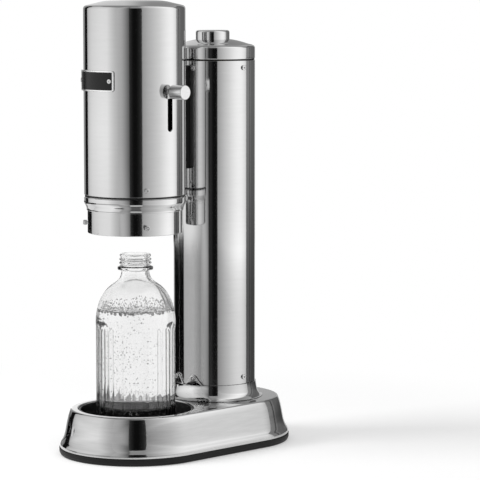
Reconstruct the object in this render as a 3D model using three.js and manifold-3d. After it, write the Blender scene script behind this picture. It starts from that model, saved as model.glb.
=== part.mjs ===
// Sparkling water maker: a stadium base, a gas tower, and a head whose steel shield lowers over a bottle.
// Units are millimetres. +Z is up, -Y is the bottle side, +X is the handle side.
// The origin is on the ground, midway between the head's axis and the tower's axis.

import * as THREE from 'three';
import { mergeVertices } from 'three/addons/utils/BufferGeometryUtils.js';
import Module from 'manifold-3d';

const wasm = await Module();
wasm.setup();

// Clearances and cutting values
const touchGap = 0.3;
const slideGap = 0.5;
const cutOverrun = 1;
const weldDistance = 1e-5;

// Fineness of the round work
const roundSegments = 40;
const innerSegments = 32;
const smallSegments = 20;
const pinSegments = 8;
const wireSides = 6;
const bendSteps = 2;
const domeSteps = 4;
const halfTurn = 180;

// Screws
const screwHeadRadius = 2.6;
const screwHeadHeight = 1.4;
const screwSocketRadius = 1.3;
const screwSocketDepth = 0.7;
const screwShankRadius = 1.2;
const screwBite = 1.6;

// Bottle
const bottleRadius = 41;
const bottleWall = 2.7;
const bottleFloor = 5;
const bottleHeelRadius = 6;
const bottlePunt = 2.4;
const bottleStandingRing = 5;
const shoulderStart = 121;
const shoulderCornerRise = 22.4;
const shoulderRise = 33.4;
const shoulderEndRadius = 27;
const neckCornerRise = 7;
const neckRise = 15;
const neckLength = 3.7;
const neckRadiusOutside = 13.6;
const beadProud = 4.7;
const beadThickness = 3.2;
const finishLength = 13.3;
const threadRoot = 15.2;
const threadProud = 1.2;
const threadCount = 2;
const threadPitch = 3.2;
const threadWidth = 1.4;
const mouthLipProud = 0.7;
const mouthHeight = 2.4;
const mouthWall = 4.2;
const fluteCount = 18;
const fluteDrop = 2;
const fluteDepth = 0.6;
const fluteWidthShare = 0.93;
const waterRise = 11.4;

// Handle travel and what runs beside the shield
const handleTravel = 37;
const shieldRoom = 7.4;
const shieldWall = 1.2;
const strapRunGap = 0.3;
const strapDepth = 1.2;
const strapShellGap = 0.6;
const headWall = 1.5;

// Base
const footHeight = 7;
const footProud = 0.8;
const footEdgeRadius = 2.5;
const footRingWidth = 9;
const baseTop = 47;
const baseWall = 1.5;
const baseLipHeight = 3.4;
const baseLipDraw = 0.4;
const baseLipSpread = 5.2;
const baseWaistSpread = 5.1;
const baseWaistHeight = 22.4;
const baseFlareRun = 1.3;
const baseFlareRise = 3.5;
const baseSideBulge = 1.45;
const baseEdgeRadius = 2.4;
const basePlateThickness = 2;
const baseRimWidth = 8.6;
const wellClearance = 10.9;
const wellRimRadius = 1.2;
const wellRimWall = 1.4;
const wellRimDepth = 6;
const cupWall = 2;
const cupFloor = 3.4;
const cupStep = 1;
const cupDraft = 2.6;
const cupCornerRadius = 3;
const padInset = 2;
const padThickness = 3;
const padRibCount = 2;
const padRibWidth = 1.6;
const padRibDepth = 1.2;

// Gas hatch under the tower
const hatchRoom = 6;
const hatchLugWidth = 3;
const hatchLugThickness = 2;
const hatchLugRoot = 6;
const hatchLugCount = 3;
const hatchLugAngle = 24;
const hatchNotchSpareAngle = 4;
const hatchTurn = 60;
const hatchBarInset = 14;
const hatchBarWidth = 6;
const hatchBarHeight = 4;

// Gas train inside the tower
const gasBottleRadius = 30;
const gasBottleHeight = 340.1;
const gasBottleHeel = 6;
const gasBottleShoulderDrop = 34;
const gasBottleShoulderRise = 26;
const gasBottleNeckLength = 8;
const gasBottleNeckRadius = 13;
const gasValveRadius = 10;
const gasValveWrenchProud = 2;
const gasValveHeight = 26;
const gasValveWrenchHeight = 9;
const guideThickness = 8;
const guideRise = 178.1;
const bracketThickness = 9;
const valveBodyRadius = 14;
const valveBodyDrop = 10.9;
const valveBodyRise = 5.5;
const valveFlangeProud = 5;
const valveFlangeThickness = 4;
const reliefRadius = 4.5;
const reliefLength = 15;
const reliefRise = 5.4;

// Tower
const towerRoom = 11.8;
const towerWall = 1.2;
const footRingHeight = 16.4;
const footRingBand = 1;
const footRingFlare = 7;
const footRingEdge = 0.6;
const spigotWall = 2;
const spigotReach = 17;
const towerOpeningStep = 1.5;
const tabThickness = 1.3;
const tabTipRadius = 3.4;
const tabHalfWidth = 10;
const lowerScrewRise = 7.1;
const upperScrewDrop = 7.3;
const towerScrewAngles = [-90, -15, 15, 90];
const tabScrewAngles = [-15, 15];
const capRingHeight = 1;
const capRingStep = 0.5;
const capRingWidth = 4;
const capWall = 1.5;
const capBandHeight = 12.1;
const capEdgeRadius = 2.4;
const capDomeRise = 8.3;
const capSpigotDepth = 3;

// Push button
const buttonRadius = 17.7;
const buttonRise = 9;
const buttonEdgeRadius = 2.2;
const buttonWall = 2;
const buttonFlangeWidth = 2.2;
const buttonFlangeThickness = 2;
const buttonFlangeDrop = 2.2;
const buttonCrown = 0.4;
const buttonRoof = 2.4;
const buttonForward = 2;
const buttonTravel = 4;
const plungerRadius = 3;
const plungerEntry = 2;
const plungerBoreSpare = 2;
const plungerCollarRadius = 9.5;
const plungerCollarThickness = 2;
const plungerCollarRise = 11;
const springInset = 1.5;
const springWire = 0.7;
const springTurns = 4;
const springStepsPerTurn = 10;

// Shield
const shieldClearance = 22;
const shieldTail = 27.667;
const studRise = 8.8;
const studShankRadius = 1.5;
const studShankLength = 3.6;
const studHeadRadius = 2.6;
const studHeadLength = 3.2;
const studAngles = [-60, 60, 180];

// Head
const headTowerGap = 19;
const shieldShow = 23.1;
const lowerRingHeight = 14;
const lowerRingBand = 5.6;
const lowerRingLip = 0.6;
const lowerRingRound = 2.1;
const lowerRingSlopeRun = 1.4;
const lowerRingSlopeRise = 3.5;
const lowerRingSpigot = 18;
const seamHeight = 1.7;
const seamStep = 0.8;
const headShoulderDrop = 1.4;
const headEdgeRadius = 3.2;
const headDomeRise = 9.5;
const headScrewRise = 9.2;
const headScrewAngles = [-60, 60, 180];
const bridgeHalfWidth = 7;
const bridgeFootRise = 24.7;
const bridgeTopRise = 2;
const pipeHoleRadius = 1.6;

// Handle
const handleRise = 107.7;
const knobRadius = 7.2;
const knobLength = 17.4;
const knobEdge = 0.6;
const neckRadius = 3;
const slotGap = 0.4;
const neckStandOff = 4.6;
const strapDrop = 7;
const strapNearAngle = -7;
const strapFarAngle = 24;
const crossheadThickness = 2.4;
const crossheadLift = 0.8;

// Lift gear and racks
const toothModule = 0.8;
const pinionTeeth = 9;
const wheelTeeth = 48;
const pressureAngle = 25;
const addendumShare = 0.75;
const dedendumShare = 1.05;
const toothBacklash = 0.2;
const wheelThickness = 4;
const pinionWidth = 7;
const gearRise = 24.8;
const gearAxleRadius = 1.5;
const rackBack = 1.8;
const rackMargin = 5;
const handleRackThickness = 4.4;
const wheelOffset = 20.3;
const gearSideGap = 0.5;
const framePlateThickness = 1.6;
const frameDiscInset = 11.2;
const frameDiscThickness = 2;
const framePlateDrop = 8;
const framePlateLead = 3.5;
const axleHeadProud = 1.3;
const axleHeadThickness = 1.2;
const axleTail = 0.8;
const tieWidth = 3;
const tieHeight = 6;
const tieLift = 3;

// Nozzle
const sealThickness = 5;
const sealProud = 0.3;
const nozzleHeadRadius = 15.5;
const nozzleHeadHeight = 7;
const nozzleBore = 2.6;
const nozzleTipRadius = 3.6;
const nozzleTipLength = 19;
const stemWall = 2.4;
const stemDrop = 34.2;
const armLift = 5;
const armThickness = 6;
const armBossWall = 4;
const armReach = 8;
const armBack = 4;
const feedPipeSlack = 0.5;
const feedOverlap = 38;
const feedFlangeRadius = 6;
const feedFlangeThickness = 2.4;
const gasPipeRadius = 0.7;
const gasPipeRise = 3.4;

// Plate on the head
const plateHeight = 21;
const plateRise = 118.4;
const plateAngle = -8.3;
const plateHalfAngle = 32.2;
const plateCorner = 2.4;
const plateBorder = 1.4;
const plateBacking = 0.5;
const plateInlay = 0.5;
const plateReach = 14;
const plateScrewInsetAngle = 5.5;
const plateScrewRadius = 2.7;

// Radii worked out from the bottle outwards
const shieldRadius = bottleRadius + shieldRoom;
const shieldInner = shieldRadius - shieldWall;
const shieldBore = shieldRadius + slideGap;
const strapInner = shieldRadius + strapRunGap;
const strapOuter = strapInner + strapDepth;
const shellInner = strapOuter + strapShellGap;
const headRadius = shellInner + headWall;
const headSpigotOuter = shellInner - touchGap;
const wellRadius = shieldRadius + wellClearance;
const baseTopRadius = wellRadius + baseRimWidth;
const baseWaistRadius = baseTopRadius + baseWaistSpread;
const baseLipRadius = baseWaistRadius + baseLipSpread;
const footRadius = baseLipRadius + footProud;
const padRadius = bottleRadius - padInset;
const trayInner = headRadius + touchGap;
const trayOuter = trayInner + plateBacking + touchGap + plateInlay;
const plateHalfWidth = trayOuter * Math.sin((plateHalfAngle * Math.PI) / 180);
const plateScrewHalfAngle = plateHalfAngle - plateScrewInsetAngle;
const plateScrewSeat = trayOuter + touchGap;

// Radii worked out from the gas bottle outwards
const tubeInner = gasBottleRadius + towerRoom;
const towerRadius = tubeInner + towerWall;
const spigotOuter = tubeInner - touchGap;
const spigotInner = spigotOuter - spigotWall;
const towerOpening = spigotInner - towerOpeningStep;
const hatchRadius = gasBottleRadius + hatchRoom;
const screwHole = screwShankRadius + touchGap;

// The two axes
const axisSpacing = headRadius + headTowerGap + towerRadius;
const headY = -axisSpacing / 2;
const towerY = axisSpacing / 2;

// Heights of the base and the bottle
const basePlateBottom = footHeight + touchGap;
const basePlateTop = basePlateBottom + basePlateThickness;
const cupBottom = basePlateTop + touchGap;
const padBottom = cupBottom + cupFloor + touchGap;
const bottleBottom = padBottom + padThickness + touchGap;
const shoulderCornerHeight = shoulderStart + shoulderCornerRise;
const shoulderEndHeight = shoulderStart + shoulderRise;
const neckCornerHeight = shoulderEndHeight + neckCornerRise;
const neckHeight = shoulderEndHeight + neckRise;
const beadHeight = neckHeight + neckLength;
const beadRadius = neckRadiusOutside + beadProud;
const bottleHeight = beadHeight + beadThickness + finishLength;
const threadRadius = threadRoot + threadProud;
const mouthRadius = threadRoot + mouthLipProud;
const bottleMouth = bottleBottom + bottleHeight;
const fluteTop = shoulderStart - fluteDrop;
const waterLevel = shoulderStart + waterRise;

// Heights of the tower, which the gas bottle sets
const towerSeam = baseTop + footRingHeight;
const lowerScrewHeight = towerSeam + lowerScrewRise;
const gasBottleBottom = basePlateTop + hatchLugThickness + touchGap + touchGap;
const gasBottleTop = gasBottleBottom + gasBottleHeight;
const gasValveBottom = gasBottleTop + touchGap;
const gasValveTop = gasValveBottom + gasValveHeight;
const valveBodyBottom = gasValveTop + touchGap;
const gasPipeHeight = valveBodyBottom + gasPipeRise;
const reliefHeight = valveBodyBottom + reliefRise;
const bracketBottom = valveBodyBottom + valveBodyDrop;
const bracketTop = bracketBottom + bracketThickness;
const upperScrewHeight = (bracketBottom + bracketTop) / 2;
const valveBodyTop = bracketTop + valveBodyRise;
const valveFlangeTop = bracketTop + touchGap + valveFlangeThickness;
const capSeam = upperScrewHeight + upperScrewDrop;
const capBottom = capSeam + touchGap + capRingHeight + touchGap;
const capShoulder = capBottom + capBandHeight;
const capApex = capShoulder + capDomeRise;
const buttonTop = capApex + buttonRise;
const buttonFlangeTop = capApex - capWall - buttonFlangeDrop;
const buttonBottom = buttonFlangeTop - buttonFlangeThickness;
const guideBottom = gasBottleBottom + guideRise;

// Heights of the head, which the bottle and the handle's travel set
const shieldTravel = (handleTravel * wheelTeeth) / pinionTeeth;
const shieldBottom = bottleMouth + shieldClearance;
const shieldTop = shieldBottom + shieldTravel + shieldTail;
const studHeight = shieldBottom + studRise;
const gearHeight = shieldBottom + gearRise;
const lowerRingBottom = shieldBottom + shieldShow;
const headSeam = lowerRingBottom + lowerRingHeight;
const shellBottom = headSeam + touchGap + seamHeight + touchGap;
const headScrewHeight = headSeam + headScrewRise;
const handleHeight = headSeam + handleRise;
const plateCentre = headSeam + plateRise;
const crossheadBottom = shieldTop + crossheadLift;
const crossheadTop = crossheadBottom + crossheadThickness;
const frameDiscBottom = crossheadTop + slideGap;
const frameDiscRadius = shieldInner - frameDiscInset;
const headShoulder = frameDiscBottom - headShoulderDrop;
const headApex = headShoulder + headDomeRise;
const bridgeBottom = headSeam + bridgeFootRise;
const bridgeTop = upperScrewHeight + bridgeTopRise;

// Places of the gear, the racks and the frame
const wheelPitchRadius = (toothModule * wheelTeeth) / 2;
const pinionPitchRadius = (toothModule * pinionTeeth) / 2;
const addendum = toothModule * addendumShare;
const dedendum = toothModule * dedendumShare;
const toothPitch = Math.PI * toothModule;
const wheelFar = wheelOffset + wheelThickness;
const rackWallX = Math.sqrt((shieldInner - touchGap) ** 2 - wheelFar ** 2);
const shieldRackPitchX = rackWallX - rackBack - dedendum;
const gearX = shieldRackPitchX - wheelPitchRadius;
const handleRackPitchX = gearX + pinionPitchRadius;
const handleRackRootX = handleRackPitchX + dedendum;
const handleRackBackX = handleRackRootX + handleRackThickness;
const handleRackBottom = gearHeight - rackMargin;
const handleRackToothedTop = gearHeight + handleTravel + rackMargin;
const pinionNear = wheelOffset - pinionWidth;
const handleRackNear = pinionNear + touchGap;
const handleRackFar = wheelOffset - gearSideGap;
const innerPlateFar = pinionNear - gearSideGap;
const innerPlateNear = innerPlateFar - framePlateThickness;
const outerPlateNear = wheelFar + gearSideGap;
const outerPlateFar = outerPlateNear + framePlateThickness;
const axleHeadRadius = gearAxleRadius + axleHeadProud;

// Places of the nozzle and its gas
const stemRadius = nozzleBore + stemWall;
const feedPipeRadius = nozzleBore - feedPipeSlack;
const sealBottom = bottleMouth + handleTravel + touchGap;
const sealTop = sealBottom + sealThickness;
const sealRadius = nozzleHeadRadius + sealProud;
const nozzleHeadBottom = sealTop + touchGap;
const nozzleHeadTop = nozzleHeadBottom + nozzleHeadHeight;
const armHeight = handleRackToothedTop + armLift;
const feedFlangeTop = frameDiscBottom - touchGap;
const feedFlangeBottom = feedFlangeTop - feedFlangeThickness;
const stemTop = feedFlangeBottom - stemDrop;
const feedPipeBottom = stemTop - handleTravel - feedOverlap;
const gasPipeCrossing = (feedFlangeTop + feedFlangeBottom) / 2;
const gasPipeRunRadius = (shieldRadius + shellInner) / 2;

// Finishes
const steel = { color: 0xc8c9cb, roughness: 0.12, metalness: 1 };
const satin = { color: 0xb9babb, roughness: 0.35, metalness: 1 };
const blackPlastic = { color: 0x121212, roughness: 0.4, metalness: 0 };
const rubber = { color: 0x1b1b1b, roughness: 0.85, metalness: 0 };
const gearPlastic = { color: 0xe4e2da, roughness: 0.5, metalness: 0 };
const brass = { color: 0xb9933f, roughness: 0.3, metalness: 1 };
const aluminium = { color: 0x9da3a8, roughness: 0.4, metalness: 1 };
const clearGlass = { color: 0xeef2f2, roughness: 0.03, metalness: 0, transparent: true, opacity: 0.35 };
const clearWater = { color: 0xdfe9ec, roughness: 0.02, metalness: 0, transparent: true, opacity: 0.5 };

const degrees = Math.PI / 180;

// Turns a closed geometry into a solid, with its faces pointing out.
function toSolid(geometry) {
  const bare = geometry.clone();
  for (const name of Object.keys(bare.attributes)) {
    if (name !== 'position') {
      bare.deleteAttribute(name);
    }
  }
  const merged = mergeVertices(bare, weldDistance);
  const position = merged.attributes.position;
  const corners = merged.index.array;
  const triangles = [];
  let signedVolume = 0;
  const a = new THREE.Vector3();
  const b = new THREE.Vector3();
  const c = new THREE.Vector3();
  for (let i = 0; i < corners.length; i += 3) {
    const [p, q, r] = [corners[i], corners[i + 1], corners[i + 2]];
    if (p === q || q === r || r === p) {
      continue;
    }
    a.fromBufferAttribute(position, p);
    b.fromBufferAttribute(position, q);
    c.fromBufferAttribute(position, r);
    signedVolume += a.dot(b.cross(c));
    triangles.push(p, q, r);
  }
  if (signedVolume < 0) {
    triangles.reverse();
  }
  return new wasm.Manifold(new wasm.Mesh({
    numProp: 3,
    vertProperties: new Float32Array(position.array),
    triVerts: new Uint32Array(triangles),
  }));
}

// Turns a solid back into a geometry.
function toGeometry(solid) {
  const mesh = solid.getMesh();
  const geometry = new THREE.BufferGeometry();
  geometry.setAttribute('position', new THREE.BufferAttribute(new Float32Array(mesh.vertProperties), 3));
  geometry.setIndex(new THREE.BufferAttribute(new Uint32Array(mesh.triVerts), 1));
  geometry.computeVertexNormals();
  return geometry;
}

function join(first, ...others) {
  return toGeometry(others.reduce((solid, other) => solid.add(toSolid(other)), toSolid(first)));
}

function cut(first, ...tools) {
  return toGeometry(tools.reduce((solid, tool) => solid.subtract(toSolid(tool)), toSolid(first)));
}

function common(first, second) {
  return toGeometry(toSolid(first).intersect(toSolid(second)));
}

// Revolves an outline of [radius, height] points that starts and ends on the axis.
function turned(outline, segments = roundSegments) {
  const points = outline.map(([radius, height]) => new THREE.Vector2(radius, height));
  const geometry = new THREE.LatheGeometry(points, segments);
  return geometry.rotateX(Math.PI / 2);
}

// Revolves an outline that closes on itself, away from the axis.
function turnedRing(outline, segments = roundSegments) {
  return turned([...outline, outline[0]], segments);
}

// A plain round bar along Z.
function bar(radius, bottom, top, segments = roundSegments) {
  return turned([[0, bottom], [radius, bottom], [radius, top], [0, top]], segments);
}

// A plain tube along Z.
function tube(inner, outer, bottom, top, segments = roundSegments) {
  return turnedRing([[inner, bottom], [outer, bottom], [outer, top], [inner, top]], segments);
}

// A box given by its lowest and highest corners.
function block(low, high) {
  const size = high.map((value, i) => value - low[i]);
  const centre = high.map((value, i) => (value + low[i]) / 2);
  return new THREE.BoxGeometry(...size).translate(...centre);
}

// Points of an arc in an outline, with angles in degrees from the outline's radius axis.
function arc(centreRadius, centreHeight, radius, from, to, steps) {
  const points = [];
  for (let i = 0; i <= steps; i += 1) {
    const angle = (from + ((to - from) * i) / steps) * degrees;
    points.push([centreRadius + radius * Math.cos(angle), centreHeight + radius * Math.sin(angle)]);
  }
  return points;
}

// Points of a smooth bend from one outline point to another, pulled towards a corner point.
function bend(from, corner, to, steps) {
  const curve = new THREE.QuadraticBezierCurve(
    new THREE.Vector2(...from),
    new THREE.Vector2(...corner),
    new THREE.Vector2(...to),
  );
  return curve.getPoints(steps).map((point) => [point.x, point.y]);
}

// Lays a shape drawn in X and Y flat, and gives it a height.
function extruded(shape, bottom, top, curveSegments = pinSegments) {
  const settings = { depth: top - bottom, bevelEnabled: false, curveSegments };
  return new THREE.ExtrudeGeometry(shape, settings).translate(0, 0, bottom);
}

function polygon(points) {
  return new THREE.Shape(points.map(([x, y]) => new THREE.Vector2(x, y)));
}

// Stands a solid drawn along +Z on a direction that leaves an axis at an angle from the front.
// The solid's own Y becomes up.
function radial(geometry, angle, height) {
  geometry.rotateX(Math.PI / 2);
  geometry.rotateZ(angle * degrees);
  return geometry.translate(0, 0, height);
}

// A radial hole or peg between two distances from the axis.
function radialBar(radius, inner, outer, angle, height, segments = pinSegments) {
  return radial(bar(radius, inner, outer, segments), angle, height);
}

// A pan-head screw with a round socket, seated at a distance from the axis.
function radialScrew(seat, tip, angle, height, headRadius = screwHeadRadius) {
  const crown = seat + screwHeadHeight;
  const outline = [
    [0, tip],
    [screwShankRadius, tip],
    [screwShankRadius, seat],
    [headRadius, seat],
    [headRadius, seat + screwHeadHeight / 2],
    [screwSocketRadius, crown],
    [screwSocketRadius, crown - screwSocketDepth],
    [0, crown - screwSocketDepth],
  ];
  return radial(turned(outline, pinSegments), angle, height);
}

// A shape drawn in X and height, given a depth along Y.
function extrudedAlongY(shape, near, far) {
  return extruded(shape, -far, -near).rotateX(Math.PI / 2);
}

// A stadium body: the outline turned about both axes, and carried straight between them.
function stadium(outline) {
  const front = turned(outline).translate(0, headY, 0);
  const back = turned(outline).translate(0, towerY, 0);
  const right = outline.filter(([radius]) => radius > 0);
  const left = right.map(([radius, height]) => [-radius, height]).reverse();
  const middle = extrudedAlongY(polygon([...right, ...left]), headY, towerY);
  return join(front, back, middle);
}

// A flat piece of a ring between two angles from +X.
function sector(inner, outer, from, to, bottom, top) {
  const shape = new THREE.Shape();
  shape.absarc(0, 0, outer, from * degrees, to * degrees, false);
  shape.absarc(0, 0, inner, to * degrees, from * degrees, true);
  return extruded(shape, bottom, top);
}

// The outline of a cylinder closed by a low dome, with plainer curves for a hollow.
function domedOutline(radius, bottom, shoulder, edge, apex, edgeSteps = bendSteps, topSteps = domeSteps) {
  const rim = [radius - edge, shoulder + edge];
  return [
    [0, bottom],
    [radius, bottom],
    ...bend([radius, shoulder], [radius, shoulder + edge], rim, edgeSteps),
    ...bend(rim, [rim[0] / 2, apex], [0, apex], topSteps).slice(1),
  ];
}

// A toothed wheel whose gap faces +X, about the origin.
function wheelShape(teeth) {
  const pitchRadius = (toothModule * teeth) / 2;
  const baseRadius = pitchRadius * Math.cos(pressureAngle * degrees);
  const involute = (radius) => {
    const angle = Math.acos(Math.min(1, baseRadius / radius));
    return Math.tan(angle) - angle;
  };
  const halfAtPitch = Math.PI / (2 * teeth) - toothBacklash / (2 * pitchRadius);
  const half = (radius) => halfAtPitch + involute(pitchRadius) - involute(radius);
  const rings = [pitchRadius - dedendum, pitchRadius + addendum];
  const points = [];
  for (let tooth = 0; tooth < teeth; tooth += 1) {
    const centre = ((tooth + 0.5) * 2 * Math.PI) / teeth;
    for (const radius of rings) {
      points.push([radius * Math.cos(centre - half(radius)), radius * Math.sin(centre - half(radius))]);
    }
    for (const radius of [...rings].reverse()) {
      points.push([radius * Math.cos(centre + half(radius)), radius * Math.sin(centre + half(radius))]);
    }
  }
  return polygon(points);
}

// A rack in X and height whose teeth point to -X, with one tooth level with the gear's axle.
function rackShape(pitchX, backX, bottom, top, toothedTop) {
  const slope = Math.tan(pressureAngle * degrees);
  const halfAtPitch = toothPitch / 4 - toothBacklash / 2;
  const halfRoot = halfAtPitch + dedendum * slope;
  const halfTip = halfAtPitch - addendum * slope;
  const rootX = pitchX + dedendum;
  const tipX = pitchX - addendum;
  const points = [[backX, bottom], [rootX, bottom]];
  const first = Math.ceil((bottom + halfRoot - gearHeight) / toothPitch);
  for (let z = gearHeight + first * toothPitch; z + halfRoot < toothedTop; z += toothPitch) {
    points.push([rootX, z - halfRoot], [tipX, z - halfTip], [tipX, z + halfTip], [rootX, z + halfRoot]);
  }
  points.push([rootX, top], [backX, top]);
  return polygon(points);
}

// The base's outer outline, or the hollow inside it when it is inset by the wall.
function baseOutline(inset, bottom, steps) {
  const lip = baseLipRadius - inset;
  const flareStart = [lip - baseLipDraw, basePlateBottom + baseLipHeight];
  const waist = [baseWaistRadius - inset, baseWaistHeight];
  const flareCorner = [waist[0] + baseFlareRun, flareStart[1] + baseFlareRise];
  const top = baseTop - inset;
  const shoulder = [baseTopRadius - inset, top - baseEdgeRadius];
  const side = [(waist[0] + shoulder[0]) / 2 + baseSideBulge, (waist[1] + shoulder[1]) / 2];
  const flat = [shoulder[0] - baseEdgeRadius, top];
  return [
    [0, bottom],
    [lip, bottom],
    ...bend(flareStart, flareCorner, waist, steps),
    ...bend(waist, side, shoulder, steps).slice(1),
    ...bend(shoulder, [shoulder[0], top], flat, steps).slice(1),
    [0, top],
  ];
}

function baseShell() {
  const outer = stadium(baseOutline(0, basePlateBottom, bendSteps));
  const hollow = stadium(baseOutline(baseWall, basePlateBottom - cutOverrun, 1));
  const rimBottom = baseTop - wellRimDepth;
  const rimTop = baseTop - baseWall / 2;
  const rim = tube(wellRadius, wellRadius + wellRimWall, rimBottom, rimTop).translate(0, headY, 0);
  const wellHole = turned([
    [0, rimBottom - cutOverrun],
    [wellRadius, rimBottom - cutOverrun],
    ...arc(wellRadius + wellRimRadius, baseTop - wellRimRadius, wellRimRadius, 180, 90, bendSteps),
    [wellRadius + wellRimRadius, baseTop + cutOverrun],
    [0, baseTop + cutOverrun],
  ]);
  const towerHole = bar(towerOpening, rimBottom, baseTop + cutOverrun).translate(0, towerY, 0);
  return cut(join(cut(outer, hollow), rim), wellHole.translate(0, headY, 0), towerHole);
}

function footRing() {
  const outline = [
    [0, 0],
    ...arc(footRadius - footEdgeRadius, footEdgeRadius, footEdgeRadius, -90, 0, bendSteps),
    [footRadius, footHeight],
    [0, footHeight],
  ];
  const inner = footRadius - footRingWidth;
  const opening = [[0, -cutOverrun], [inner, -cutOverrun], [inner, footHeight + cutOverrun]];
  return cut(stadium(outline), stadium([...opening, [0, footHeight + cutOverrun]]));
}

function basePlate() {
  const radius = baseLipRadius - baseLipDraw - baseWall - touchGap;
  const [bottom, top] = [basePlateBottom, basePlateTop];
  const plate = stadium([[0, bottom], [radius, bottom], [radius, top], [0, top]]);
  const low = bottom - cutOverrun;
  const high = top + cutOverrun;
  const opening = bar(hatchRadius + slideGap, low, high);
  const notches = [];
  for (let lug = 0; lug < hatchLugCount; lug += 1) {
    const centre = hatchTurn + (lug * 360) / hatchLugCount;
    const notch = hatchLugAngle + hatchNotchSpareAngle;
    const from = centre - notch / 2;
    const outer = hatchRadius + hatchLugWidth + slideGap;
    notches.push(sector(hatchRadius - cutOverrun, outer, from, from + notch, low, high));
  }
  const towerCuts = [opening, ...notches].map((tool) => tool.translate(0, towerY, 0));
  return cut(plate, ...towerCuts);
}

function gasHatch() {
  const lid = bar(hatchRadius, basePlateBottom, basePlateTop, innerSegments);
  const lugBottom = basePlateTop + touchGap;
  const lugTop = lugBottom + hatchLugThickness;
  const boss = bar(hatchRadius - touchGap, basePlateBottom + cutOverrun, lugTop, innerSegments);
  const lugs = [];
  for (let lug = 0; lug < hatchLugCount; lug += 1) {
    const from = (lug * 360) / hatchLugCount - hatchLugAngle / 2;
    const inner = hatchRadius - hatchLugRoot;
    lugs.push(sector(inner, hatchRadius + hatchLugWidth, from, from + hatchLugAngle, lugBottom, lugTop));
  }
  const gripReach = hatchRadius - hatchBarInset;
  const grip = block(
    [-gripReach, -hatchBarWidth / 2, basePlateBottom - hatchBarHeight],
    [gripReach, hatchBarWidth / 2, basePlateBottom + basePlateThickness / 2],
  );
  return join(lid, boss, grip, ...lugs);
}

function bottleCup() {
  const topOuter = wellRadius - touchGap;
  const lowOuter = topOuter - cupDraft;
  const lowInner = lowOuter - cupWall;
  const top = baseTop - cupStep;
  const floor = cupBottom + cupFloor;
  return turned([
    [0, cupBottom],
    ...arc(lowOuter - cupCornerRadius, cupBottom + cupCornerRadius, cupCornerRadius, -90, 0, bendSteps),
    [topOuter, top],
    [topOuter - cupWall, top],
    ...arc(lowInner - cupCornerRadius, floor + cupCornerRadius, cupCornerRadius, 0, -90, bendSteps),
    [0, floor],
  ], innerSegments);
}

// The rubber pad under the bottle, with ring grooves that drain it.
function bottlePad() {
  const top = padBottom + padThickness;
  const outline = [[0, padBottom], [padRadius, padBottom], [padRadius, top]];
  for (let rib = padRibCount; rib > 0; rib -= 1) {
    const middle = (padRadius * rib) / (padRibCount + 1);
    const [outer, inner] = [middle + padRibWidth / 2, middle - padRibWidth / 2];
    outline.push([outer, top], [outer, top - padRibDepth], [inner, top - padRibDepth], [inner, top]);
  }
  return turned([...outline, [0, top]], innerSegments);
}

// The tab that stands up from the foot ring round a lower tower screw.
function towerTab(angle) {
  const drop = lowerScrewHeight - towerSeam;
  const reach = Math.hypot(tabHalfWidth, drop);
  const tangent = (Math.acos(tabTipRadius / reach) - Math.atan2(drop, tabHalfWidth)) / degrees;
  const foot = drop + footRingBand * 2;
  const shape = polygon([
    [-tabHalfWidth, -foot],
    [tabHalfWidth, -foot],
    [tabHalfWidth, -drop],
    ...arc(0, 0, tabTipRadius, tangent, halfTurn - tangent, 6),
    [-tabHalfWidth, -drop],
  ]);
  const inner = towerRadius + touchGap;
  const outer = inner + tabThickness;
  const prism = radial(extruded(shape, tubeInner, outer + cutOverrun), angle, lowerScrewHeight);
  return common(tube(inner, outer, towerSeam - foot, lowerScrewHeight + tabHalfWidth), prism);
}

function towerFootRing() {
  const bottom = baseTop + touchGap;
  const band = towerRadius + footRingBand;
  const flare = band + footRingFlare;
  const seam = towerSeam - touchGap;
  const ring = turnedRing([
    [spigotInner, bottom],
    [flare, bottom],
    ...bend([flare, bottom + footRingEdge], [band, bottom + footRingEdge], [band, seam], 3),
    [spigotOuter, seam],
    [spigotOuter, towerSeam + spigotReach],
    [spigotInner, towerSeam + spigotReach],
  ]);
  const holes = towerScrewAngles.map((angle) => (
    radialBar(screwHole, spigotInner - cutOverrun, flare, angle, lowerScrewHeight)
  ));
  return cut(join(ring, ...tabScrewAngles.map(towerTab)), ...holes);
}

function towerTube() {
  const body = tube(tubeInner, towerRadius, towerSeam, capSeam);
  const holes = [];
  for (const height of [lowerScrewHeight, upperScrewHeight]) {
    for (const angle of towerScrewAngles) {
      holes.push(radialBar(screwHole, tubeInner - cutOverrun, towerRadius + cutOverrun, angle, height));
    }
  }
  const wall = [tubeInner - cutOverrun, towerRadius + cutOverrun];
  const pipeHole = radialBar(pipeHoleRadius, ...wall, 0, gasPipeHeight);
  return cut(body, ...holes, pipeHole);
}

function capRing() {
  const outer = towerRadius - capRingStep;
  return tube(outer - capRingWidth, outer, capSeam + touchGap, capSeam + touchGap + capRingHeight);
}

function towerCap() {
  const outer = turned(domedOutline(towerRadius, capBottom, capShoulder, capEdgeRadius, capApex));
  const innerRadius = towerRadius - capWall;
  const innerEdge = capEdgeRadius - capWall;
  const web = capBottom + capWall;
  const inside = domedOutline(innerRadius, web, capShoulder, innerEdge, capApex - capWall, 1, bendSteps);
  const hollow = turned(inside);
  const spigot = towerRadius - capRingStep - capRingWidth - touchGap;
  const collar = tube(spigot - capWall, spigot, capBottom - capSpigotDepth, web - capWall / 2);
  const bore = bar(spigot - capWall, capBottom - cutOverrun, web + cutOverrun);
  const buttonHole = bar(buttonRadius + touchGap, web, capApex + cutOverrun);
  return cut(join(cut(outer, hollow, bore), collar), buttonHole.translate(0, -buttonForward, 0));
}

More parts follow.
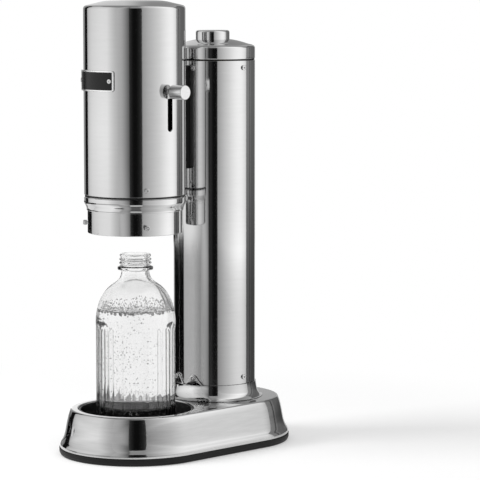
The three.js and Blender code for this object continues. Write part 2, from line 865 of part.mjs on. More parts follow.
function gasBottle() {
  const neckBottom = gasBottleTop - gasBottleNeckLength;
  const shoulder = gasBottleTop - gasBottleShoulderDrop;
  const heelTop = gasBottleBottom + gasBottleHeel;
  return turned([
    [0, gasBottleBottom],
    ...arc(gasBottleRadius - gasBottleHeel, heelTop, gasBottleHeel, -90, 0, bendSteps),
    ...bend(
      [gasBottleRadius, shoulder],
      [gasBottleRadius, shoulder + gasBottleShoulderRise],
      [gasBottleNeckRadius, neckBottom],
      4,
    ),
    [gasBottleNeckRadius, gasBottleTop],
    [0, gasBottleTop],
  ], innerSegments);
}

function gasValve() {
  const wrenchBottom = gasValveBottom + gasValveWrenchHeight;
  const wrenchTop = wrenchBottom + gasValveWrenchHeight;
  const wrenchRadius = gasValveRadius + gasValveWrenchProud;
  return turned([
    [0, gasValveBottom],
    [gasValveRadius, gasValveBottom],
    [gasValveRadius, wrenchBottom],
    [wrenchRadius, wrenchBottom],
    [wrenchRadius, wrenchTop],
    [gasValveRadius, wrenchTop],
    [gasValveRadius, gasValveTop],
    [0, gasValveTop],
  ], smallSegments);
}

function gasBottleGuide() {
  const inner = gasBottleRadius + touchGap;
  return tube(inner, tubeInner - touchGap, guideBottom, guideBottom + guideThickness, innerSegments);
}

function valveBracket() {
  const disc = tube(valveBodyRadius + touchGap, spigotOuter, bracketBottom, bracketTop, innerSegments);
  const depth = [spigotOuter - screwBite - touchGap, spigotOuter + cutOverrun];
  const holes = towerScrewAngles.map((angle) => radialBar(screwHole, ...depth, angle, upperScrewHeight));
  return cut(disc, ...holes);
}

function valveBody() {
  const flange = valveBodyRadius + valveFlangeProud;
  const body = turned([
    [0, valveBodyBottom],
    [valveBodyRadius, valveBodyBottom],
    [valveBodyRadius, bracketTop + touchGap],
    [flange, bracketTop + touchGap],
    [flange, valveFlangeTop],
    [valveBodyRadius, valveFlangeTop],
    [valveBodyRadius, valveBodyTop],
    [0, valveBodyTop],
  ], innerSegments);
  const boreBottom = valveBodyTop - plungerEntry - buttonTravel - plungerBoreSpare;
  const bore = bar(plungerRadius + touchGap, boreBottom, valveBodyTop + cutOverrun, smallSegments);
  return cut(body, bore.translate(0, -buttonForward, 0));
}

function reliefValve() {
  const start = valveBodyRadius + touchGap;
  return radialBar(reliefRadius, start, start + reliefLength, 180, reliefHeight);
}

function pushButton() {
  const flange = buttonRadius + buttonFlangeWidth;
  const edge = [buttonRadius - buttonEdgeRadius, buttonTop - buttonCrown];
  const outer = turned([
    [0, buttonBottom],
    [flange, buttonBottom],
    [flange, buttonFlangeTop],
    [buttonRadius, buttonFlangeTop],
    ...bend([buttonRadius, edge[1] - buttonEdgeRadius], [buttonRadius, edge[1]], edge, bendSteps),
    [0, buttonTop],
  ], innerSegments);
  const roof = buttonTop - buttonCrown - buttonRoof;
  const hollow = bar(buttonRadius - buttonWall, buttonBottom - cutOverrun, roof, innerSegments);
  return cut(outer, hollow).translate(0, -buttonForward, 0);
}

function buttonPlunger() {
  const collar = valveBodyTop + plungerCollarRise;
  const roof = buttonTop - buttonCrown - buttonRoof - touchGap;
  const rod = turned([
    [0, valveBodyTop - plungerEntry],
    [plungerRadius, valveBodyTop - plungerEntry],
    [plungerRadius, collar],
    [plungerCollarRadius, collar],
    [plungerCollarRadius, collar + plungerCollarThickness],
    [plungerRadius, collar + plungerCollarThickness],
    [plungerRadius, roof],
    [0, roof],
  ], smallSegments);
  return rod.translate(0, -buttonForward, 0);
}

class Helix extends THREE.Curve {
  constructor(radius, bottom, top, turns) {
    super();
    Object.assign(this, { radius, bottom, top, turns });
  }

  getPoint(t, target = new THREE.Vector3()) {
    const angle = 2 * Math.PI * this.turns * t;
    const height = this.bottom + (this.top - this.bottom) * t;
    return target.set(this.radius * Math.cos(angle), this.radius * Math.sin(angle), height);
  }
}

// A round section with a few sides, carried along a path.
function wireAlong(path, radius, steps) {
  const section = polygon(arc(0, 0, radius, 0, 360 - 360 / wireSides, wireSides - 1));
  return new THREE.ExtrudeGeometry(section, { steps, bevelEnabled: false, extrudePath: path });
}

function buttonSpring() {
  const bottom = valveBodyTop + touchGap + springWire;
  const top = valveBodyTop + plungerCollarRise - touchGap - springWire;
  const radius = plungerCollarRadius - springInset - springWire;
  const path = new Helix(radius, bottom, top, springTurns);
  return wireAlong(path, springWire, springTurns * springStepsPerTurn).translate(0, -buttonForward, 0);
}

// A thin round pipe through a list of points, with a ball at each corner.
function pipeThrough(points, radius) {
  const up = new THREE.Vector3(0, 0, 1);
  const pieces = [];
  points.slice(1).forEach((end, i) => {
    const start = points[i];
    const run = new THREE.Vector3().subVectors(end, start);
    const length = run.length();
    const turn = new THREE.Quaternion().setFromUnitVectors(up, run.normalize());
    const piece = bar(radius, 0, length, pinSegments).applyQuaternion(turn);
    pieces.push(piece.translate(start.x, start.y, start.z));
    if (i > 0) {
      const ball = new THREE.SphereGeometry(radius, pinSegments, pinSegments);
      pieces.push(ball.translate(start.x, start.y, start.z));
    }
  });
  return join(...pieces);
}

// The gas pipe: out of the valve, through the bridge, up behind the shield, in over its top.
function gasPipe() {
  const run = headY + gasPipeRunRadius;
  return pipeThrough([
    new THREE.Vector3(0, towerY - valveBodyRadius - touchGap, gasPipeHeight),
    new THREE.Vector3(0, run, gasPipeHeight),
    new THREE.Vector3(0, run, gasPipeCrossing),
    new THREE.Vector3(0, headY + feedFlangeRadius + touchGap, gasPipeCrossing),
  ], gasPipeRadius);
}

function bridgeBracket() {
  const low = [-bridgeHalfWidth, headY + shellInner, bridgeBottom];
  const high = [bridgeHalfWidth, towerY - tubeInner, bridgeTop];
  const headSide = bar(headRadius + touchGap, bridgeBottom - cutOverrun, bridgeTop + cutOverrun);
  const towerSide = bar(towerRadius + touchGap, bridgeBottom - cutOverrun, bridgeTop + cutOverrun);
  const bore = radialBar(
    pipeHoleRadius, headRadius - cutOverrun, axisSpacing - tubeInner, halfTurn, gasPipeHeight,
  );
  return cut(
    block(low, high),
    headSide.translate(0, headY, 0),
    towerSide.translate(0, towerY, 0),
    bore.translate(0, headY, 0),
  );
}

// A slot with round ends that runs up the handle side of the head.
function handleSlot() {
  const half = neckRadius + slotGap;
  const shape = new THREE.Shape();
  shape.absarc(0, 0, half, 0, Math.PI, false);
  shape.absarc(0, -handleTravel, half, Math.PI, 2 * Math.PI, false);
  return radial(extruded(shape, shieldRadius, headRadius + cutOverrun), 90, handleHeight);
}

function plateScrewAngles() {
  return [plateAngle - plateScrewHalfAngle, plateAngle + plateScrewHalfAngle];
}

function headShell() {
  const outer = turned(domedOutline(headRadius, shellBottom, headShoulder, headEdgeRadius, headApex));
  const innerEdge = headEdgeRadius - headWall;
  const low = shellBottom - cutOverrun;
  const apex = headApex - headWall;
  const inside = domedOutline(shellInner, low, headShoulder, innerEdge, apex, bendSteps, bendSteps);
  const hollow = turned(inside);
  const through = [shellInner - cutOverrun, headRadius + cutOverrun];
  const holes = headScrewAngles.map((angle) => radialBar(screwHole, ...through, angle, headScrewHeight));
  const plateHoles = plateScrewAngles().map((angle) => radialBar(screwHole, ...through, angle, plateCentre));
  const pipeHole = radialBar(pipeHoleRadius, ...through, 180, gasPipeHeight);
  return cut(outer, hollow, handleSlot(), pipeHole, ...holes, ...plateHoles);
}

function headSeamRing() {
  const bottom = headSeam + touchGap;
  return tube(shellInner, headRadius - seamStep, bottom, bottom + seamHeight);
}

function headLowerRing() {
  const bandBottom = headSeam - lowerRingBand;
  const round = [headRadius - lowerRingSlopeRun, bandBottom - lowerRingSlopeRise];
  const lip = shieldBore + lowerRingLip;
  const ring = turnedRing([
    [shieldBore, lowerRingBottom],
    [lip, lowerRingBottom],
    ...bend([lip, lowerRingBottom + lowerRingLip], [lip, round[1] - lowerRingLip], round, bendSteps),
    ...bend(round, [headRadius, bandBottom - lowerRingRound], [headRadius, bandBottom], bendSteps).slice(1),
    [headRadius, headSeam],
    [headSpigotOuter, headSeam],
    [headSpigotOuter, headSeam + lowerRingSpigot],
    [shieldBore, headSeam + lowerRingSpigot],
  ]);
  const holes = headScrewAngles.map((angle) => (
    radialBar(screwHole, shieldRadius, headRadius, angle, headScrewHeight)
  ));
  return cut(ring, ...holes);
}

// A rounded rectangle standing across a direction from the axis, as deep as the plate reaches.
function plateBlank(inset) {
  const [w, h, r] = [plateHalfWidth - inset, plateHeight / 2 - inset, plateCorner - inset / 2];
  const shape = polygon([
    ...arc(w - r, h - r, r, 0, 90, 3),
    ...arc(r - w, h - r, r, 90, 180, 3),
    ...arc(r - w, r - h, r, 180, 270, 3),
    ...arc(w - r, r - h, r, 270, 360, 3),
  ]);
  return radial(extruded(shape, headRadius - plateReach, trayOuter + cutOverrun), plateAngle, plateCentre);
}

function plateHoles() {
  return plateScrewAngles().map((angle) => (
    radialBar(screwHole, shellInner, trayOuter + cutOverrun, angle, plateCentre)
  ));
}

function plateTray() {
  const [low, high] = [plateCentre - plateHeight, plateCentre + plateHeight];
  const blank = common(tube(trayInner, trayOuter, low, high), plateBlank(0));
  const floor = trayInner + plateBacking;
  const recess = common(tube(floor, trayOuter + cutOverrun, low, high), plateBlank(plateBorder));
  return cut(blank, recess, ...plateHoles());
}

function plateInlayFace() {
  const [low, high] = [plateCentre - plateHeight, plateCentre + plateHeight];
  const inner = trayInner + plateBacking + touchGap;
  const face = common(tube(inner, trayOuter, low, high), plateBlank(plateBorder + touchGap));
  return cut(face, ...plateHoles());
}

// The frame inside the head: a disc under the dome, two long plates, and a tie behind the handle's rack.
function liftFrame() {
  const discTop = frameDiscBottom + frameDiscThickness;
  const disc = bar(frameDiscRadius, frameDiscBottom, discTop);
  const plateBottom = gearHeight - framePlateDrop;
  const nearX = gearX - framePlateLead;
  const tieX = handleRackBackX + slideGap;
  const farX = tieX + tieWidth;
  const plateTop = discTop - frameDiscThickness / 2;
  const inner = block([nearX, innerPlateNear, plateBottom], [farX, innerPlateFar, plateTop]);
  const outer = block([nearX, outerPlateNear, plateBottom], [farX, outerPlateFar, plateTop]);
  const tieBottom = gearHeight + wheelPitchRadius + addendum + tieLift;
  const tieInside = framePlateThickness / 2;
  const tie = block(
    [tieX, innerPlateNear + tieInside, tieBottom],
    [farX, outerPlateFar - tieInside, tieBottom + tieHeight],
  );
  const across = [innerPlateNear - cutOverrun, outerPlateFar + cutOverrun];
  const hole = bar(gearAxleRadius + touchGap, ...across, pinSegments);
  hole.rotateX(-Math.PI / 2).translate(gearX, 0, gearHeight);
  return cut(join(disc, inner, outer, tie), hole);
}

function gearAxle() {
  const start = innerPlateNear - axleTail;
  const head = outerPlateFar + touchGap;
  const pin = turned([
    [0, start],
    [gearAxleRadius, start],
    [gearAxleRadius, head],
    [axleHeadRadius, head],
    [axleHeadRadius, head + axleHeadThickness],
    [0, head + axleHeadThickness],
  ], pinSegments);
  return pin.rotateX(-Math.PI / 2).translate(gearX, 0, gearHeight);
}

function liftGear() {
  const wheel = extrudedAlongY(wheelShape(wheelTeeth), wheelOffset, wheelFar);
  const pinion = extrudedAlongY(wheelShape(pinionTeeth), pinionNear, wheelOffset + cutOverrun);
  const bore = bar(gearAxleRadius + touchGap, pinionNear - cutOverrun, wheelFar + cutOverrun, pinSegments);
  bore.rotateX(-Math.PI / 2);
  return cut(join(wheel, pinion), bore).translate(gearX, 0, gearHeight);
}

function shieldTube() {
  const body = tube(shieldInner, shieldRadius, shieldBottom, shieldTop);
  const wall = [shieldInner - cutOverrun, shieldRadius + cutOverrun];
  const holes = studAngles.map((angle) => radialBar(studShankRadius + touchGap, ...wall, angle, studHeight));
  return cut(body, ...holes);
}

function shieldRack() {
  const top = shieldTop - touchGap;
  const shape = rackShape(shieldRackPitchX, shieldInner, gearHeight - rackMargin, top, top);
  const blank = extrudedAlongY(shape, wheelOffset, wheelFar);
  return common(blank, bar(shieldInner - touchGap, shieldBottom, shieldTop));
}

// A stud that stands out of the shield, with its tail in the shield's wall.
function lockStud(angle) {
  const start = shieldInner + touchGap;
  const head = shieldRadius + studShankLength;
  const end = head + studHeadLength;
  const stud = turned([
    [0, start],
    [studShankRadius, start],
    [studShankRadius, head],
    [studHeadRadius, head],
    [studHeadRadius, end],
    [screwSocketRadius, end],
    [screwSocketRadius, end - screwSocketDepth],
    [0, end - screwSocketDepth],
  ], pinSegments);
  return radial(stud, angle, studHeight);
}

function handleKnob() {
  const start = headRadius + neckStandOff;
  const end = start + knobLength;
  return radial(turned([
    [0, start],
    [knobRadius - knobEdge, start],
    [knobRadius, start + knobEdge],
    [knobRadius, end - knobEdge],
    [knobRadius - knobEdge, end],
    [0, end],
  ], innerSegments), 90, handleHeight);
}

function handleNeck() {
  const end = headRadius + neckStandOff - touchGap;
  return radialBar(neckRadius, strapOuter + touchGap, end, 90, handleHeight, smallSegments);
}

// The strap that carries the handle past the shield, and the crosshead over the shield's top.
function handleStrap() {
  const bottom = handleHeight - strapDrop;
  const strap = sector(strapInner, strapOuter, strapNearAngle, strapFarAngle, bottom, crossheadTop);
  const arm = block(
    [handleRackBackX + touchGap, handleRackNear, crossheadBottom],
    [headRadius, handleRackFar, crossheadTop],
  );
  const trimmed = common(arm, bar(strapInner + strapDepth / 2, crossheadBottom - cutOverrun, headApex));
  return join(strap, trimmed);
}

function handleRack() {
  const [bottom, top] = [handleRackBottom, crossheadTop];
  const shape = rackShape(handleRackPitchX, handleRackBackX, bottom, top, handleRackToothedTop);
  return toGeometry(toSolid(extrudedAlongY(shape, handleRackNear, handleRackFar)));
}

function nozzleArm() {
  const end = handleRackRootX - touchGap;
  const shape = polygon([
    [-armBack, 0],
    [armReach, 0],
    [armReach, handleRackNear],
    [end, handleRackNear],
    [end, handleRackFar],
    [-armBack, handleRackFar],
  ]);
  const top = armHeight + armThickness;
  const boss = bar(stemRadius + armBossWall, armHeight, top, smallSegments);
  const bore = bar(stemRadius + touchGap, armHeight - cutOverrun, top + cutOverrun, smallSegments);
  return cut(join(extruded(shape, armHeight, top), boss), bore);
}

function nozzleStem() {
  return tube(nozzleBore, stemRadius, nozzleHeadTop + touchGap, stemTop, smallSegments);
}

function nozzleHead() {
  const tip = sealBottom - nozzleTipLength;
  return turnedRing([
    [nozzleBore / 2, tip],
    [nozzleTipRadius, tip],
    [nozzleTipRadius, nozzleHeadBottom],
    [nozzleHeadRadius, nozzleHeadBottom],
    [nozzleHeadRadius, nozzleHeadTop],
    [nozzleBore / 2, nozzleHeadTop],
  ], innerSegments);
}

function nozzleSeal() {
  return tube(nozzleTipRadius + touchGap, sealRadius, sealBottom, sealTop, innerSegments);
}

function feedPipe() {
  return turnedRing([
    [feedPipeRadius / 2, feedPipeBottom],
    [feedPipeRadius, feedPipeBottom],
    [feedPipeRadius, feedFlangeBottom],
    [feedFlangeRadius, feedFlangeBottom],
    [feedFlangeRadius, feedFlangeTop],
    [feedPipeRadius / 2, feedFlangeTop],
  ], smallSegments);
}

// The bottle's outside from its base to its mouth, in heights from its base.
function bottleOutline() {
  const heelCentre = bottleRadius - bottleHeelRadius;
  const shoulderEnd = [shoulderEndRadius, shoulderEndHeight];
  const outline = [
    [0, bottlePunt],
    [heelCentre - bottleStandingRing, bottlePunt / 2],
    [heelCentre - bottleStandingRing / 2, 0],
    ...arc(heelCentre, bottleHeelRadius, bottleHeelRadius, -90, 0, bendSteps),
    ...bend([bottleRadius, shoulderStart], [bottleRadius, shoulderCornerHeight], shoulderEnd, 4),
    ...bend(shoulderEnd, [neckRadiusOutside, neckCornerHeight], [neckRadiusOutside, neckHeight], 3).slice(1),
    [neckRadiusOutside, beadHeight],
    [beadRadius, beadHeight + beadThickness / 3],
    [beadRadius, beadHeight + (beadThickness * 2) / 3],
    [threadRoot, beadHeight + beadThickness],
  ];
  const lip = bottleHeight - mouthHeight;
  for (let turn = threadCount; turn > 0; turn -= 1) {
    const middle = lip - turn * threadPitch + threadWidth / 2;
    outline.push(
      [threadRoot, middle - threadWidth],
      [threadRadius, middle - threadWidth / 2],
      [threadRadius, middle + threadWidth / 2],
      [threadRoot, middle + threadWidth],
    );
  }
  return [...outline, [mouthRadius, lip], [mouthRadius, bottleHeight], [0, bottleHeight]];
}

// The space inside the bottle, in heights from its base, drawn in by an inset.
function bottleHollow(inset, top) {
  const wall = bottleWall + inset;
  const radius = bottleRadius - wall;
  const heelCentre = radius - bottleHeelRadius;
  const floor = bottleFloor + inset;
  const neck = neckRadiusOutside - wall;
  const shoulderEnd = [shoulderEndRadius - wall, shoulderEndHeight - wall];
  return turned([
    [0, floor],
    ...arc(heelCentre, floor + bottleHeelRadius, bottleHeelRadius, -90, 0, bendSteps),
    ...bend([radius, shoulderStart], [radius, shoulderCornerHeight - wall], shoulderEnd, 4),
    ...bend(shoulderEnd, [neck, neckCornerHeight - wall], [neck, neckHeight], 3).slice(1),
    [neck, beadHeight],
    [mouthRadius - mouthWall - inset, beadHeight + beadThickness],
    [mouthRadius - mouthWall - inset, top],
    [0, top],
  ], smallSegments);
}

function bottleGlass() {
  const half = bottleRadius * Math.sin(Math.PI / fluteCount) * fluteWidthShare;
  const archCentre = fluteTop - half;
  const shape = polygon([[-half, -cutOverrun], [half, -cutOverrun], ...arc(0, archCentre, half, 0, 180, 4)]);
  const flutes = [];
  for (let flute = 0; flute < fluteCount; flute += 1) {
    const blank = extruded(shape, bottleRadius - fluteDepth, bottleRadius + cutOverrun);
    flutes.push(radial(blank, ((flute + 0.5) * 360) / fluteCount, 0));
  }
  const outside = turned(bottleOutline(), fluteCount * 2);
  const hollow = bottleHollow(0, bottleHeight + cutOverrun);
  return cut(outside, hollow, ...flutes).translate(0, 0, bottleBottom);
}

function bottleWater() {
  const level = bar(bottleRadius, 0, waterLevel, smallSegments);
  return common(bottleHollow(touchGap, bottleHeight), level).translate(0, 0, bottleBottom);
}

const machine = new THREE.Group();
const head = new THREE.Group();
const tower = new THREE.Group();
head.position.y = headY;
tower.position.y = towerY;
machine.add(head, tower);

// Names a sub-part, gives it its finish and puts it in its group.
function add(group, name, geometry, finish) {
  const mesh = new THREE.Mesh(geometry, new THREE.MeshStandardMaterial(finish));
  mesh.name = name;
  group.add(mesh);
}

// The base
add(machine, 'base_shell', baseShell(), steel);
add(machine, 'foot_ring', footRing(), rubber);
add(machine, 'base_plate', basePlate(), blackPlastic);
add(tower, 'gas_hatch', gasHatch(), blackPlastic);
add(head, 'bottle_cup', bottleCup(), blackPlastic);
add(head, 'bottle_pad', bottlePad(), rubber);

// The tower
add(tower, 'tower_foot_ring', towerFootRing(), steel);
add(tower, 'tower_tube', towerTube(), steel);
add(tower, 'cap_ring', capRing(), blackPlastic);
add(tower, 'tower_cap', towerCap(), steel);
towerScrewAngles.forEach((angle, i) => {
  const onTab = tabScrewAngles.includes(angle) ? touchGap + tabThickness : 0;
  const seat = towerRadius + onTab + touchGap;
  const tip = spigotOuter - screwBite;
  const lower = radialScrew(seat, tip, angle, lowerScrewHeight);
  add(tower, `tower_lower_screw_${i + 1}`, lower, satin);
  const upper = radialScrew(towerRadius + touchGap, tip, angle, upperScrewHeight);
  add(tower, `tower_upper_screw_${i + 1}`, upper, satin);
});

// The gas train
add(tower, 'gas_bottle', gasBottle(), aluminium);
add(tower, 'gas_bottle_valve', gasValve(), brass);
add(tower, 'gas_bottle_guide', gasBottleGuide(), blackPlastic);
add(tower, 'valve_bracket', valveBracket(), aluminium);
add(tower, 'valve_body', valveBody(), brass);
add(tower, 'relief_valve', reliefValve(), brass);
add(machine, 'gas_pipe', gasPipe(), satin);
add(machine, 'bridge_bracket', bridgeBracket(), blackPlastic);

// The push button
add(tower, 'push_button', pushButton(), steel);
add(tower, 'button_plunger', buttonPlunger(), gearPlastic);
add(tower, 'button_spring', buttonSpring(), satin);

// The head
add(head, 'head_shell', headShell(), steel);
add(head, 'head_seam_ring', headSeamRing(), blackPlastic);
add(head, 'head_lower_ring', headLowerRing(), steel);
headScrewAngles.forEach((angle, i) => {
  const screw = radialScrew(headRadius + touchGap, headSpigotOuter - screwBite / 2, angle, headScrewHeight);
  add(head, `head_screw_${i + 1}`, screw, satin);
});
add(head, 'plate_tray', plateTray(), steel);
add(head, 'plate_inlay', plateInlayFace(), blackPlastic);
plateScrewAngles().forEach((angle, i) => {
  const screw = radialScrew(plateScrewSeat, shellInner, angle, plateCentre, plateScrewRadius);
  add(head, `plate_screw_${i + 1}`, screw, satin);
});
add(head, 'lift_frame', liftFrame(), aluminium);
add(head, 'gear_axle', gearAxle(), satin);
add(head, 'feed_pipe', feedPipe(), satin);

// The shield and its drive
add(head, 'shield_tube', shieldTube(), steel);
add(head, 'shield_rack', shieldRack(), gearPlastic);
studAngles.forEach((angle, i) => add(head, `lock_stud_${i + 1}`, lockStud(angle), satin));
add(head, 'lift_gear', liftGear(), gearPlastic);

// The handle and the nozzle that it lowers
add(head, 'handle_knob', handleKnob(), satin);
add(head, 'handle_neck', handleNeck(), satin);
add(head, 'handle_strap', handleStrap(), aluminium);
add(head, 'handle_rack', handleRack(), gearPlastic);
add(head, 'nozzle_arm', nozzleArm(), gearPlastic);
add(head, 'nozzle_stem', nozzleStem(), satin);
add(head, 'nozzle_head', nozzleHead(), gearPlastic);
add(head, 'nozzle_seal', nozzleSeal(), rubber);

// The bottle
add(head, 'glass_bottle', bottleGlass(), clearGlass);
add(head, 'bottle_water', bottleWater(), clearWater);

export default machine;
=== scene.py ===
"""Looks of the sparkling water maker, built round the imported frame.

Sizes are in millimetres in the frame that the solids share: +Z up, the head's axis at y = -57, the tower's axis at
y = +57, and the handle on the +X side. Every mesh is made in metres. An angle round an axis is in degrees, from the
front, which is -Y, towards +X.
"""

from __future__ import annotations

import logging
import math
import random
from collections.abc import Callable, Iterable, Sequence
from dataclasses import dataclass, field
from enum import Enum, IntEnum

import bmesh
import bpy
from mathutils import Matrix, Vector


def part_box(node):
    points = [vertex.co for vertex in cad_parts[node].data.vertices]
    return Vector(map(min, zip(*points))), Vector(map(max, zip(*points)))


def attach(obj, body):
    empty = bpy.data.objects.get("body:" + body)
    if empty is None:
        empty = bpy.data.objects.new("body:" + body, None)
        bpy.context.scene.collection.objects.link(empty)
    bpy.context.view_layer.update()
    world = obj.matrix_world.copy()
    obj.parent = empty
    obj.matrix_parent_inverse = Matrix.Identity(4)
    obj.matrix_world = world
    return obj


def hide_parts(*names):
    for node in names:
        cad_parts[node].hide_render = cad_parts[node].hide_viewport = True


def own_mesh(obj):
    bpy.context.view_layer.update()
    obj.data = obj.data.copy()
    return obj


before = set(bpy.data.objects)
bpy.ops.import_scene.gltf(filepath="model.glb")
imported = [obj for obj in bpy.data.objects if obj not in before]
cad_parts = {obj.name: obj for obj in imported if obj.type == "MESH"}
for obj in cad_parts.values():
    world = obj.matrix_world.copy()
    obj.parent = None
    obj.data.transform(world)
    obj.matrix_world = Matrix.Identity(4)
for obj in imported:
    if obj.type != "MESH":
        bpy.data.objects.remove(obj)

MM = 0.001
HEAD_Y = -57.0
TOWER_Y = 57.0
HARD_EDGE = 35.0
ON_AXIS = 1e-6
LOG = logging.getLogger("water_maker")

Point = tuple[float, float]
Place = tuple[float, float, float]
Corner = Sequence[float]
Ring = list[bmesh.types.BMVert]
Glows = list[tuple[Vector, float]]
Object = bpy.types.Object
Tree = bpy.types.NodeTree
Socket = bpy.types.NodeSocket


class Finish(Enum):
    """The finishes of the object's pieces."""

    POLISHED = "polished_steel"
    BRUSHED = "brushed_base_steel"
    SATIN = "satin_steel"
    TURNED = "turned_knob_steel"
    RIM = "bright_rim"
    PLASTIC = "black_plastic"
    MATT = "matt_black"
    ENAMEL = "plate_face"
    RUBBER = "black_rubber"
    GEAR = "gear_plastic"
    BRASS = "brass"
    ALUMINIUM = "aluminium"
    GLASS = "clear_glass"
    WATER = "clear_water"
    BUBBLE = "gas_bubbles"

    @property
    def slot(self) -> str:
        """The record's material slot that the finish belongs to."""
        return {Finish.BRUSHED: "polished_steel", Finish.RIM: "polished_steel", Finish.TURNED: "satin_steel",
                Finish.MATT: "black_plastic", Finish.BUBBLE: "clear_glass"}.get(self, self.value)


class Sides(IntEnum):
    """How many faces go round a turned piece, by its kind."""

    TUBE = 192
    RING = 160
    WATER = 144
    SEAM = 128
    SMALL = 96
    KNOB = 72
    PIN = 40
    SCREW = 36


def linear(level: float) -> float:
    """Gives the light of a display brightness, where 1 is white."""
    return ((level + 0.055) / 1.055) ** 2.4


def around(radius: float, angle: float, height: float, centre_y: float) -> Place:
    """Gives the place at a distance, an angle and a height round an upright axis."""
    turn = math.radians(angle)
    return radius * math.sin(turn), centre_y - radius * math.cos(turn), height


def middle_height(node: str) -> float:
    """Gives the height of the middle of a CAD node, in millimetres."""
    low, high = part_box(node)
    return (low.z + high.z) / 2 / MM


# Outlines

def rounded(corners: Sequence[Corner], steps: int = 5, closed: bool = False) -> list[Point]:
    """Rounds the corners of an outline.

    Args:
        corners: Radius and height of each point, and its rounding where it has one.
        steps: How many edges each rounding has.
        closed: Whether the last point joins the first.

    Returns:
        The points of the rounded outline.
    """
    points: list[Point] = []
    count = len(corners)
    for i, (x, z, *rounding) in enumerate(corners):
        if not any(rounding) or (not closed and i in (0, count - 1)):
            points.append((x, z))
            continue
        here = Vector((x, z))
        before = (Vector(corners[i - 1][:2]) - here).normalized()
        after = (Vector(corners[(i + 1) % count][:2]) - here).normalized()
        half = before.angle(after) / 2
        reach = rounding[0] / math.tan(half)
        middle = here + (before + after).normalized() * (rounding[0] / math.sin(half))
        start = here + before * reach - middle
        turn = math.pi - 2 * half
        side = 1 if start.cross(here - middle) > 0 else -1
        for step in range(steps + 1):
            swing = Matrix.Rotation(side * turn * step / steps, 2)
            spot = middle + swing @ start
            points.append((spot.x, spot.y))
    return points


def flowing(points: Sequence[Point], steps: int = 5) -> list[Point]:
    """Draws a smooth curve through points.

    Args:
        points: The points that the curve passes.
        steps: How many edges lie between two points.

    Returns:
        The points of the curve.
    """
    ends = [points[0], *points, points[-1]]
    curve: list[Point] = []
    for i in range(1, len(ends) - 2):
        a, b, c, d = (Vector(p) for p in ends[i - 1:i + 3])
        for step in range(steps):
            t = step / steps
            spot = 0.5 * (2 * b + (c - a) * t + (2 * a - 5 * b + 4 * c - d) * t ** 2
                          + (3 * b - a - 3 * c + d) * t ** 3)
            curve.append((spot.x, spot.y))
    return [*curve, points[-1]]


# Meshes

def new_object(name: str, data: bpy.types.ID) -> Object:
    """Makes an object and puts it in the scene.

    Args:
        name: The object's name.
        data: Its mesh, lamp or camera.

    Returns:
        The object.
    """
    obj = bpy.data.objects.new(name, data)
    bpy.context.scene.collection.objects.link(obj)
    return obj


def mesh_object(name: str, mesh: bmesh.types.BMesh) -> Object:
    """Makes an object of gathered faces and puts it in the scene.

    Args:
        name: The object's name.
        mesh: The faces, which are let go.

    Returns:
        The object.
    """
    data = bpy.data.meshes.new(name)
    mesh.to_mesh(data)
    mesh.free()
    return new_object(name, data)


def smooth(data: bpy.types.Mesh, hard: float = HARD_EDGE) -> None:
    """Shades a mesh smooth, but for its edges from a number of degrees on."""
    data.shade_smooth()
    data.set_sharp_from_angle(angle=math.radians(hard))


